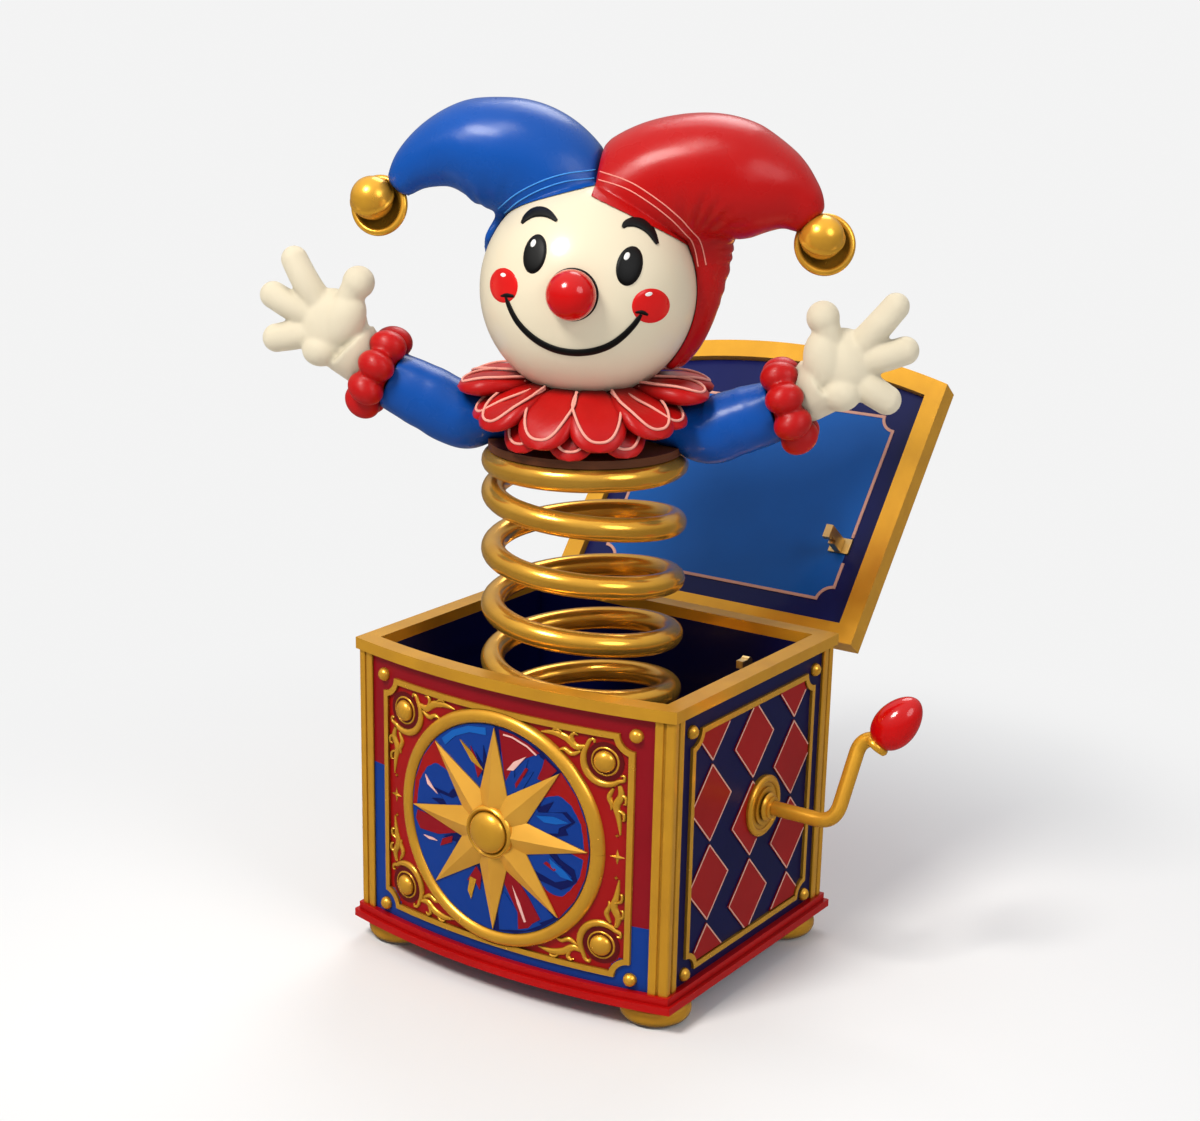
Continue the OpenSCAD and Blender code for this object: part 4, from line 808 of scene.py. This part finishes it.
def face():
    piece("head_ball", *lathe(meridian(HEAD_R, 0, pi, 97), 144), CREAM, "jack", slot="cream_paint", replaces=["head"],
          M=DOLL_HEAD)
    nose, dark, spots, glints = Bag(), Bag(), Bag(), Bag()
    profile = [(0, NOSE_R)] + [(NOSE_R * sin(t), NOSE_R * cos(t)) for t in np.linspace(0.05, pi * 0.72, 30)]
    nose.put(lathe(profile, 64), HEAD @ shift((0, -(HEAD_R + 2.5), 0)) @ spin(90, "X"))
    nose.make("nose_ball", NOSE, "jack", slot="red_paint", replaces=["nose"])
    # the nose sits in a fine dark line
    ribbon(dark, circle(NOSE_R - 0.1, 65), 0.45, 0.4, on_ball)
    for x, tilt in ((-15.3, -3), (17.8, -2)):
        face_disc(dark, x, 11.8, 4.4, 6.9, 0.9, tilt)
    for brow in BROWS:
        stroke(dark, brow, 8, 0.45, 1.35, 0.8, 0.9)
    stroke(dark, MOUTH, 10, 0.7, 0.6, 0.6, 0.75)
    for end in MOUTH_ENDS:
        stroke(dark, end, 6, 0.4, 0.5, 1, 0.8, start=0)
    dark.make("face_lines", INK, "jack", slot="black_paint", replaces=["eyes", "eyebrows", "mouth"], M=HEAD)
    for x, z in ((-26.0, -0.6), (26.4, -1.0)):
        face_disc(spots, x, z, 6.3, 6.3, 0.4)
    spots.make("cheek_spots", CHEEK, "jack", slot="red_paint", replaces=["cheeks"], M=HEAD)
    # painted highlights: white glints on the eyes, then on the cheeks
    for x, z in ((-16.4, 15.3), (16.6, 15.0)):
        face_disc(glints, x, z, 1.15, 1.7, 1.1, -16, n=24, rings=6)
    for x, tilt in ((-26.4, 4), (25.4, 20)):
        face_disc(glints, x, 3.0, 1.5, 0.9, 0.5, tilt, n=20, rings=5)
    glints.make("painted_highlights_eyes_cheeks", WHITE, "jack", slot="cream_paint", M=HEAD)


# ------------------------------------------------------------------------- hat

HORN_BLUE = [(-4, 27, 19), (-14, 37.5, 21), (-23, 44, 20.8), (-34, 46.5, 20), (-44.7, 47.8, 17.4), (-54.5, 46.2, 13),
             (-64.2, 40.8, 9), (-70.9, 33.5, 5.2)]
HORN_RED = [(5, 21, 20), (15, 31.5, 22), (24, 37, 22.5), (35, 40.5, 22), (46, 41.3, 21.4), (57, 38.8, 20),
            (66.8, 36, 15.8), (74, 32, 10.8), (79, 26.7, 6.4)]
BELLS = {"blue": (-77.5, 26.5, -1), "red": (84.0, 18.5, 1)}
SEAMS = {"blue": [(-30.5, 21.5), (-25.0, 27.4), (-17.5, 32.6), (-9.5, 36.0), (-1.0, 37.4)],
         "red": [(1.0, 37.6), (7.5, 37.2), (13.2, 36.0), (19.1, 33.4), (24.8, 30.0), (29.8, 25.6),
                 (33.5, 19.0), (35.6, 12.0)]}
# The cloth behind the right ear runs down from the horn to the ruff
TAIL = [(36, 12, 30, 17), (38.5, 11.5, 16, 13), (38.2, 10.5, 4, 11), (36.2, 9.5, -8, 9.6), (32.5, 8.5, -18, 8.6),
        (28.5, 8, -26, 6.2)]
HOOD_OUT, HOOD_IN, HOOD_TOUCH = 3.2, 2.0, 0.35
SEAM_HALF, SEAM_TUCK, SEAM_W = 0.15, 0.7, 1.6
# The wrinkles fan out round this point of each horn
BEND_X, BEND_Z, BEND_R, WRINKLE = 34, 14, 28, 0.35
# Where the horns are cut from the hoods, from the middle of the head along the axis of each
HAT_LEVEL = 30.0


def horn_y(x, side):
    return 7 * (1 - x * side / 110)


def round_tube(pts, n):
    """Tube through (x, y, z, radius) points."""
    return tube([p[:3] for p in pts], [p[3] for p in pts], n=n, ref=(0, 1, 0))


def hood(side):
    """A thick skin over the back of the head, lower at the nape."""
    rows, cols = 30, 40
    aim = []
    for j in range(rows):
        for k in range(cols):
            lon = radians(4 + 178 * k / (cols - 1))
            low = -38 if side > 0 else (18 - 48 * max(0.0, sin(lon)))
            lat = radians(88 + (low - 88) * j / (rows - 1))
            aim.append(Vector((cos(lon) * cos(lat), sin(lon) * cos(lat), sin(lat))))
    outer = [d * (HEAD_R + HOOD_OUT) for d in aim]
    off = len(outer)
    cells = [(j, k) for j in range(rows - 1) for k in range(cols - 1)
             if side * (outer[j * cols + k].x + outer[j * cols + k + 1].x) > -3.0]
    kept = set(cells)
    faces = []
    for j, k in cells:
        a, d = j * cols + k, (j + 1) * cols + k
        b, c = a + 1, d + 1
        faces += [(a, b, c, d), (off + d, off + c, off + b, off + a)]
        for cell, e, f in (((j - 1, k), a, b), ((j + 1, k), c, d), ((j, k - 1), d, a), ((j, k + 1), b, c)):
            if cell not in kept:
                faces.append((e, f, off + f, off + e))
    return outer + [d * (HEAD_R - HOOD_IN) for d in aim], faces


def read(me, what):
    a = np.empty(len(me.vertices) * 3)
    me.vertices.foreach_get(what, a)
    return a.reshape(-1, 3)


def write(me, co):
    me.vertices.foreach_set("co", (co * MM).ravel())
    me.update()


def hat_side(name, horn, side, mat, node_name, axis):
    """One half of the hat: hood and horn in one skin, then cut across into a hood piece and a horn piece."""
    bag = Bag().put(round_tube(spline([(x, horn_y(x, side), z, r) for x, z, r in horn], 8), 32), DOLL_HEAD)
    bag.put(hood(side), HEAD)
    if side > 0:
        bag.put(round_tube(spline(TAIL, 6), 20), DOLL_HEAD)
    o = remeshed(name, bag, 1.1, rounds=14, factor=0.6)
    me = o.data
    co = read(me, "co") / MM
    centre = np.array(DOLL_HEAD.translation)
    d = co - centre
    away = np.linalg.norm(d, axis=1)
    near = away < HEAD_R + HOOD_TOUCH
    co[near] = centre + d[near] * ((HEAD_R + HOOD_TOUCH) / away[near])[:, None]
    # meet the other half at the seam, with a small tuck
    head_at = np.array(HEAD.translation)
    local = (co - head_at) @ np.array(HEAD.inverted().to_3x3()).T
    local[side * local[:, 0] < SEAM_HALF, 0] = side * SEAM_HALF
    tuck = np.clip(1 - np.abs(side * local[:, 0] - SEAM_HALF) / SEAM_W, 0, 1) * SEAM_TUCK
    r = np.linalg.norm(local, axis=1)
    local *= (1 - tuck * (r > HEAD_R + 2) / np.maximum(r, 1))[:, None]
    co = local @ np.array(HEAD.to_3x3()).T + head_at
    write(me, co)
    # soft wrinkles where the horn bends
    dl = (co - centre) @ np.array(DOLL_HEAD.inverted().to_3x3()).T
    up, out = dl[:, 2] - BEND_Z, np.abs(dl[:, 0]) - BEND_X
    ang = np.degrees(np.arctan2(up, out))
    amp = WRINKLE * np.clip((BEND_R - np.hypot(up, out)) / 12, 0, 1)
    amp = amp * np.clip((np.linalg.norm(dl, axis=1) - HEAD_R - 4) / 8, 0, 1)
    wave = np.sin(ang * 0.42 + 1.5 * np.sin(ang * 0.11))
    write(me, co + read(me, "normal") * (amp * wave)[:, None])
    me.materials.clear()
    me.materials.append(mat)
    # cut across the horn into a hood piece and a horn piece
    ax = (DOLL_HEAD.to_3x3() @ Vector(axis)).normalized()
    at = DOLL_HEAD.translation + ax * HAT_LEVEL
    for is_horn, part in ((True, "_horn"), (False, "_hood")):
        half = me.copy()
        bm = bmesh.new()
        bm.from_mesh(half)
        bmesh.ops.bisect_plane(bm, geom=bm.verts[:] + bm.edges[:] + bm.faces[:], plane_co=at * MM, plane_no=ax,
                               clear_inner=is_horn, clear_outer=not is_horn, dist=1e-7)
        bm.to_mesh(half)
        bm.free()
        p = add_object(name + part, half)
        smooth(p, 180)
        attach(p, "jack")
        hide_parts(node_name)
        if is_horn:
            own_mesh(p)
    bpy.data.objects.remove(o)


def bells():
    """Each bell is a ball in front of a rolled saucer, at the tip of its horn."""
    dish = [(0, -1.6), (5, -1.8), (8.4, -1.2), (9.4, 0.2)]
    dish += [(9.7 + 1.35 * cos(a), 1.2 + 1.35 * sin(a)) for a in np.linspace(-2.4, 2.6, 14)]
    dish += [(7.6, 0.4), (4, -0.4), (0, -0.5)]
    R, pole, seam = 7.9, 0.15, 0.1
    sphere = [(0, -R)] + meridian(R, pole, pi / 2 - seam, 14)
    sphere += [(R + 0.35, -0.55), (R + 0.5, 0), (R + 0.35, 0.55)]
    sphere += meridian(R, pi / 2 + seam, pi - pole, 14) + [(0, R)]
    for name, (x, z, side) in BELLS.items():
        c = Vector((x, horn_y(x, side), z))
        tilt = spin(-14, "X") @ spin(side * 10, "Z")
        M = DOLL_HEAD @ shift(c + Vector((0, 1.5, 0))) @ tilt @ spin(90, "X")
        bag = Bag().put(lathe(dish, 56), M)
        bag.put(lathe(sphere, 56), M @ shift((-1.6, 2.2, 4.4)) @ spin(-35, "X"))
        o = bag.make("bell_" + name, BRASS_TRIM, "jack", slot="brass_trim", replaces=["hat_bells"], angle=60)
        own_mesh(o)


def hat_stitches_and_highlight():
    """Pale stitched lines along the hat's front edge and down the seam, laid on the finished cloth; they are also a
    painted highlight along that edge.
    """
    bpy.context.evaluated_depsgraph_get()
    eye = HEAD @ Vector((0, -300, 0))
    for name, mat in (("blue", THREAD_AND_HIGHLIGHT_BLUE), ("red", THREAD_AND_HIGHLIGHT_RED)):
        cloth = [bpy.data.objects["hat_cloth_%s_%s" % (name, part)] for part in ("horn", "hood")]
        bag = Bag()
        for lift in (3.4, 6.2):
            run = []
            for x, z in spline(SEAMS[name], 8):
                scale = 1 + lift / hypot(x, z)
                aim = HEAD @ Vector((x * scale, 0, z * scale))
                best = None
                for o in cloth:
                    inv = o.matrix_world.inverted()
                    a, b = inv @ (eye * MM), inv @ (aim * MM)
                    hit, loc = o.ray_cast(a, (b - a).normalized())[:2]
                    if hit:
                        w = (o.matrix_world @ loc) / MM
                        if best is None or (w - eye).length < (best - eye).length:
                            best = w + (eye - w).normalized() * 0.05
                if best is not None:
                    run.append(best)
            keep = [p for k, p in enumerate(run) if k == 0 or (p - run[k - 1]).length < 3.0]
            if len(keep) > 5:
                bag.add(*tube(keep, 0.24, n=8, ref=(0, 1, 0)))
        bag.make("hat_stitches_and_highlight_" + name, mat, "jack", slot="%s_satin" % name)


# ------------------------------------------------------------------------ ruff

PETALS, PETAL_ROOT, TIP_FROM = 12, 0.5, 0.62
# Rows of petals: radius and height of the root, length, width, thickness, droop, share of a step turned
RUFF_ROWS = ((19.0, -35.6, 27.0, 21.0, 8.4, 9.0, 0.5), (18.5, -37.5, 24.5, 19.0, 7.0, 12.0, 0.0))


def petal(bag, M, length, width, thick, droop):
    """A stuffed lobe whose tip curls under: narrow at its root, round at its tip, with pale piping round the top edge
    that is also a painted highlight line.
    """
    nu, nv = 20, 28

    def half(t):
        if t < 0.6:
            return width / 2 * (PETAL_ROOT + (1 - PETAL_ROOT) * sin(t / 0.6 * pi / 2))
        return width / 2 * sqrt(max(0.0, 1 - ((t - 0.6) / 0.4) ** 2.4))

    def tip(t, least):
        return sqrt(max(least, 1 - ((t - TIP_FROM) / (1 - TIP_FROM)) ** 2)) if t > TIP_FROM else 1

    verts = []
    for j in range(nu + 1):
        t = (j / nu) ** 0.85
        w = max(half(t), 0.05)
        h = thick / 2 * (0.8 + 0.2 * sin(pi * t)) * tip(t, 0.0)
        for k in range(nv):
            c, q = cos(2 * pi * k / nv), sin(2 * pi * k / nv)
            y = w * copysign(abs(c) ** 0.75, c)
            dip = 0.22 * thick * (cos(pi * y / max(w, 0.1)) * 0.5 + 0.5) * sin(pi * min(1, t * 1.15)) if q > 0 else 0
            verts.append(Vector((length * t, y, -droop * t * t + h * copysign(abs(q) ** 0.8, q) - dip)))
    bag.add(verts, grid_faces(nu + 1, nv, wrap=True) + [tuple(range(nv))], 0, M)
    # pale piping along the top edge: a cord that also stands as painted highlight
    path = []
    for q in np.linspace(-1, 1, 41):
        t = 0.14 + 0.80 * (1 - abs(q) ** 2.6)
        y = copysign(min(0.86 * half(t), 0.86 * width / 2 * abs(sin(q * pi / 2))), q)
        path.append((length * t, y, -droop * t * t + 0.86 * (thick / 2 * tip(t, 0.05))))
    bag.put(tube(path, 0.5, n=8), M, 1)


def ruff():
    bag = Bag()
    for r0, z0, length, width, thick, droop, turned in RUFF_ROWS:
        for i in range(PETALS):
            a = 2 * pi * (i + turned) / PETALS
            lift = cos(a) ** 4
            M = DOLL_HEAD @ Matrix.Rotation(a, 4, "Z") @ shift((r0, 0, z0 + 1.2 * lift)) @ spin(14 - 22 * lift, "Y")
            petal(bag, M, length + 1.5 * lift, width, thick, droop * (1 - 0.72 * lift))
    band = [(18, -37.5), (24.5, -38.0), (25.2, -36.0), (24.4, -34.4), (22.0, -34.0), (20, -35.0)]
    bag.put(lathe(band, 64), DOLL_HEAD)
    o = bag.make("ruff_petals", [SATIN_PETAL, PIPING_AND_HIGHLIGHT], "jack", slot="red_satin", replaces=["ruff"], padded=0.7,
                 angle=70)
    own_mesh(o)


# ------------------------------------------------------------------------ arms

ARMS = {"left": [(-14, -48, 6.4), (-24, -48, 6.8), (-34, -48.6, 8.6), (-45, -49.0, 12.0), (-57, -43.6, 12.2),
                 (-66, -39.4, 11.6), (-73, -36.1, 10.8)],
        "right": [(14, -48, 6.4), (24, -48, 6.8), (34, -48.8, 8.6), (45, -50.0, 12.0), (56, -46.0, 12.2),
                  (63, -43.5, 11.8), (69.5, -41.0, 11.0)]}
PALM, PALM_RISE, PALM_R = 24.5, 8.0, 13.4
PUFFS, PUFF_R, PUFF_AT = 8, 6.2, (12.4, 0, 5.8)
# Thumb first, then the fingers: (x, z, radius) from the middle of the palm
TIPS = {"left": [(11.1, 17.4, 5.5), (-13.5, 24.4, 5.2), (-21.8, 11.1, 5.3), (-21.0, -4.7, 5.5)],
        "right": [(-7.2, 18.2, 5.5), (18.2, 22.7, 5.2), (22.4, 7.2, 5.4), (17.0, -10.8, 5.6)]}
# Ball of the thumb and heel of the hand: (x, z, radius, stretch, degrees)
PADS = {"left": [(5.6, 3.5, 8.2, 1.35, 28), (-3.5, -8.0, 7.6, 0.8, 0)],
        "right": [(-6.4, 3.0, 7.8, 1.45, -8), (0.5, -8.6, 8.2, 0.8, 0)]}


def wrist(arm):
    (x0, z0, _), (x1, z1, _) = arm[-2], arm[-1]
    side = 1 if x1 > 0 else -1
    ang = atan2(z1 - z0, abs(x1 - x0))
    at = Vector((x1, 0, z1))
    rot = Matrix.Rotation(radians(90) - ang if side > 0 else ang - radians(90), 4, "Y")
    return DOLL_HEAD @ shift(at) @ rot, Vector((side * cos(ang), 0, sin(ang))), side, at


def fold_arm(o, side):
    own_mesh(o)


def sleeves():
    n = 40
    for name, arm in ARMS.items():
        pts = spline([(x, 0, z, r) for x, z, r in arm], 10)
        path = [Vector(p[:3]) for p in pts]
        verts = []
        for i, (p, t) in enumerate(zip(path, tangents(path))):
            u = Vector((0, 1, 0))
            w = t.cross(u)
            s = i / (len(path) - 1)
            for k in range(n):
                a = 2 * pi * k / n
                fold = 0.14 * sin(26 * s * pi / 2 + 2.0 * sin(a)) * exp(-((s - 0.62) / 0.16) ** 2)
                fold += 0.25 * sin(9 * a + 5 * s) * exp(-((s - 1.0) / 0.10) ** 2)
                fold += 0.08 * noise.noise(Vector((s * 9, cos(a) * 1.3, sin(a) * 1.3)))
                r = pts[i][3] + fold
                verts.append(p + r * (cos(a) * u + sin(a) * w))
        faces = grid_faces(len(path), n, wrap=True) + end_faces(n, len(verts))
        o = piece("sleeve_cloth_" + name, verts, faces, SATIN_BLUE, "jack", slot="blue_satin",
                  replaces=["sleeve_" + name], M=DOLL_HEAD, padded=0.8, angle=60)
        sub = o.modifiers.new("sub", "SUBSURF")
        sub.levels = sub.render_levels = 1
        apply_modifiers(o)
        fold_arm(o, 1 if name == "right" else -1)


def stuffed(name, bag, rounds, mat, slot, replaced, fill, side):
    """Makes one padded piece of the forms in a bag."""
    o = remeshed(name, bag, 0.75, rounds)
    o.data.materials.clear()
    o.data.materials.append(mat)
    dress(o, "jack", slot, [replaced], 180, fill)
    fold_arm(o, side)


def cuffs():
    """Puffed lobes round each wrist: a ring of stuffed balls, flattened and pinched where they meet."""
    hub = [(0, 0.2), (10.6, 0.2), (11.6, 1.4), (11.6, 9.0), (9.6, 10.6), (6.0, 11.2), (0, 11.4)]
    for name, arm in ARMS.items():
        M, _, side, _ = wrist(arm)
        bag = Bag().put(lathe(hub, 40), M)
        for i in range(PUFFS):
            bag.put(ball(PUFF_R, 0.2, 14, 28), M @ spin(360 * (i + 0.5) / PUFFS, "Z") @ shift(PUFF_AT)
                    @ spin(-18, "Y") @ Matrix.Diagonal((0.98, 0.90, 1.16, 1)))
        stuffed("cuff_" + name, bag, 3, SATIN_PETAL, "red_satin", "cuffs", 0.8, side)


def gloves():
    """Stuffed gloves: palm to the front, with pads for its ball and heel, a thumb and three fingers."""
    for name, arm in ARMS.items():
        _, d, side, at = wrist(arm)
        c = at + d * PALM + Vector((0, 0, PALM_RISE))
        palm = DOLL_HEAD @ shift(c) @ Matrix.Diagonal((0.98, 0.74, 1.06, 1))
        bag = Bag().put(ball(PALM_R, 0.15, 20, 36), palm)
        path = [at + d * 4, at + d * 11 + Vector((0, 0, 1.2)), at + d * 17 + Vector((0, 0, 4))]
        bag.put(tube(path, [7.8, 9.6, 11.4], n=24, ref=(0, 1, 0)), DOLL_HEAD)
        for x, z, r, tall, lean in PADS[name]:
            bag.put(ball(r, 0.2, 14, 28), DOLL_HEAD @ shift(c + Vector((x, -5.2, z))) @ spin(lean, "Y")
                    @ Matrix.Diagonal((0.92, 0.78, tall, 1)))
        for j, (x, z, r) in enumerate(TIPS[name]):
            thumb = j == 0
            a, b = c + Vector((x * 0.30, -1.0, z * 0.30)), c + Vector((x, -4.5 if thumb else -2.0, z))
            mid = a.lerp(b, 0.55) + Vector((0, -1.4, 0))
            path = spline([tuple(a), tuple(mid), tuple(b)], 6)
            last = len(path) - 1
            radii = [r * (1.10 - 0.22 * sin(pi * i / last) if thumb else 1.06 - 0.10 * i / last)
                     for i in range(last + 1)]
            bag.put(tube(path, radii, n=20, ref=(0, 1, 0)), DOLL_HEAD)
            bag.put(ball(r * (1.10 if thumb else 0.97), 0.25, 12, 20), DOLL_HEAD @ shift(b))
        stuffed("glove_" + name, bag, 4, COTTON, "cream_cloth", "hand_" + name, 0.85, side)


# ----------------------------------------------------------------------- studio

PALE = (0.90, 0.90, 0.90, 1)


def studio():
    """Pale floor that fades into a plain pale backdrop; dark surroundings in reflections, so that gold and lacquer
    stay deep."""
    s = 8000.0
    floor = add_mesh("floor", [(-s, -s, 0), (s, -s, 0), (s, s, 0), (-s, s, 0)], [(0, 1, 2, 3)])
    m = bpy.data.materials.new("floor_pale")
    m.use_nodes = True
    t = m.node_tree
    p = t.nodes["Principled BSDF"]
    feed(t, p, {"Base Color": (0.80, 0.80, 0.80, 1), "Roughness": 0.8, "Specular IOR Level": 0.0})
    place = node(t, "NewGeometry").outputs["Position"]
    away = node(t, "VectorMath", {0: place}, operation="LENGTH").outputs["Value"]
    fade = node(t, "MapRange", {0: away, 1: 0.12, 2: 0.42}, interpolation_type="SMOOTHSTEP").outputs[0]
    glow = node(t, "Emission", {0: PALE}).outputs[0]
    seen = node(t, "MixShader", {0: fade, 1: p.outputs[0], 2: glow}).outputs[0]
    dim = node(t, "Emission", {0: (0.16, 0.155, 0.15, 1)}).outputs[0]
    glossy = node(t, "LightPath").outputs["Is Glossy Ray"]
    surface = node(t, "MixShader", {0: glossy, 1: seen, 2: dim}).outputs[0]
    feed(t, t.nodes["Material Output"], {"Surface": surface})
    floor.data.materials.append(m)

    w = bpy.data.worlds.new("studio")
    bpy.context.scene.world = w
    w.use_nodes = True
    t = w.node_tree
    rays = node(t, "LightPath").outputs
    up = node(t, "SeparateXYZ", {0: node(t, "TexCoord").outputs["Generated"]}).outputs[2]
    ramp = node(t, "ValToRGB", {0: up})
    stops = ramp.color_ramp.elements
    # the last stop, at 1.0, stays white
    for at, level in ((0.0, 0.12), (0.34, 0.45), (0.60, 0.62), (0.82, 0.85)):
        stop = stops.new(at) if at else stops[0]
        stop.color = (level, level * 0.99, level * 0.97, 1)
    mirrored = blend(t, rays["Is Glossy Ray"], (0.34, 0.35, 0.37, 1), ramp.outputs[0])
    direct = node(t, "Math", {0: rays["Is Camera Ray"], 1: rays["Is Transmission Ray"]}, operation="MAXIMUM")
    sky = blend(t, direct.outputs[0], mirrored, PALE)
    feed(t, t.nodes["Background"], {0: sky, 1: 1.0})

    lamp("key", -8, 50, 1.3, 0.40, 15, (1.0, 0.97, 0.92))
    lamp("fill", 78, 32, 1.5, 0.7, 5, (0.97, 0.98, 1.0))
    lamp("back", 200, 50, 1.4, 0.7, 6)


def lamp(name, az, el, away, size, watts, tint=(1, 1, 1)):
    a, e = radians(az), radians(el)
    at = Vector((0, 0, 0.15))
    lo = add_object(name, bpy.data.lights.new(name, "AREA"))
    lo.data.shape = "DISK"
    lo.data.size = size
    lo.data.energy = watts
    lo.data.color = tint
    lo.location = at + away * Vector((sin(a) * cos(e), -cos(a) * cos(e), sin(e)))
    lo.rotation_euler = (at - lo.location).to_track_quat("-Z", "Y").to_euler()


def camera():
    """The camera fitted to the photo: azimuth, elevation, roll, distance in mm, focal length and centre in pixels."""
    az, el, roll, away, focal = radians(33.75), radians(18.26), radians(-1.23), 838.0, 846.7
    across, zoom = 1200, 2.55
    back = Vector((sin(az) * cos(el), -cos(az) * cos(el), sin(el)))
    right = Vector((cos(az), sin(az), 0))
    up = back.cross(right)
    M = Matrix((right * cos(roll) - up * sin(roll), right * sin(roll) + up * cos(roll), back)).transposed().to_4x4()
    M.translation = (Vector((0, 0, 108)) + away * back) * MM
    cam = add_object("camera", bpy.data.cameras.new("camera"))
    cam.data.sensor_width = 36
    cam.data.lens = focal * zoom / across * 36
    cam.data.shift_x = (597.0 - 596.4) * zoom / across
    cam.data.shift_y = (614.2 - 568.5) * zoom / across
    cam.data.clip_start = 0.01
    cam.matrix_world = M
    bpy.context.scene.camera = cam


front_paint()
posts()
medallion()
scrollwork()
side_lines()
lid_panel()
crank()
spring()
face()
hat_side("hat_cloth_blue", HORN_BLUE, -1, SATIN_BLUE, "hat_blue", (-0.5, 0, 0.866))
hat_side("hat_cloth_red", HORN_RED, 1, SATIN_RED, "hat_red", (0.7071, 0, 0.7071))
bells()
hat_stitches_and_highlight()
ruff()
sleeves()
cuffs()
gloves()
studio()
camera()
bpy.context.scene.view_settings.view_transform = "Standard"
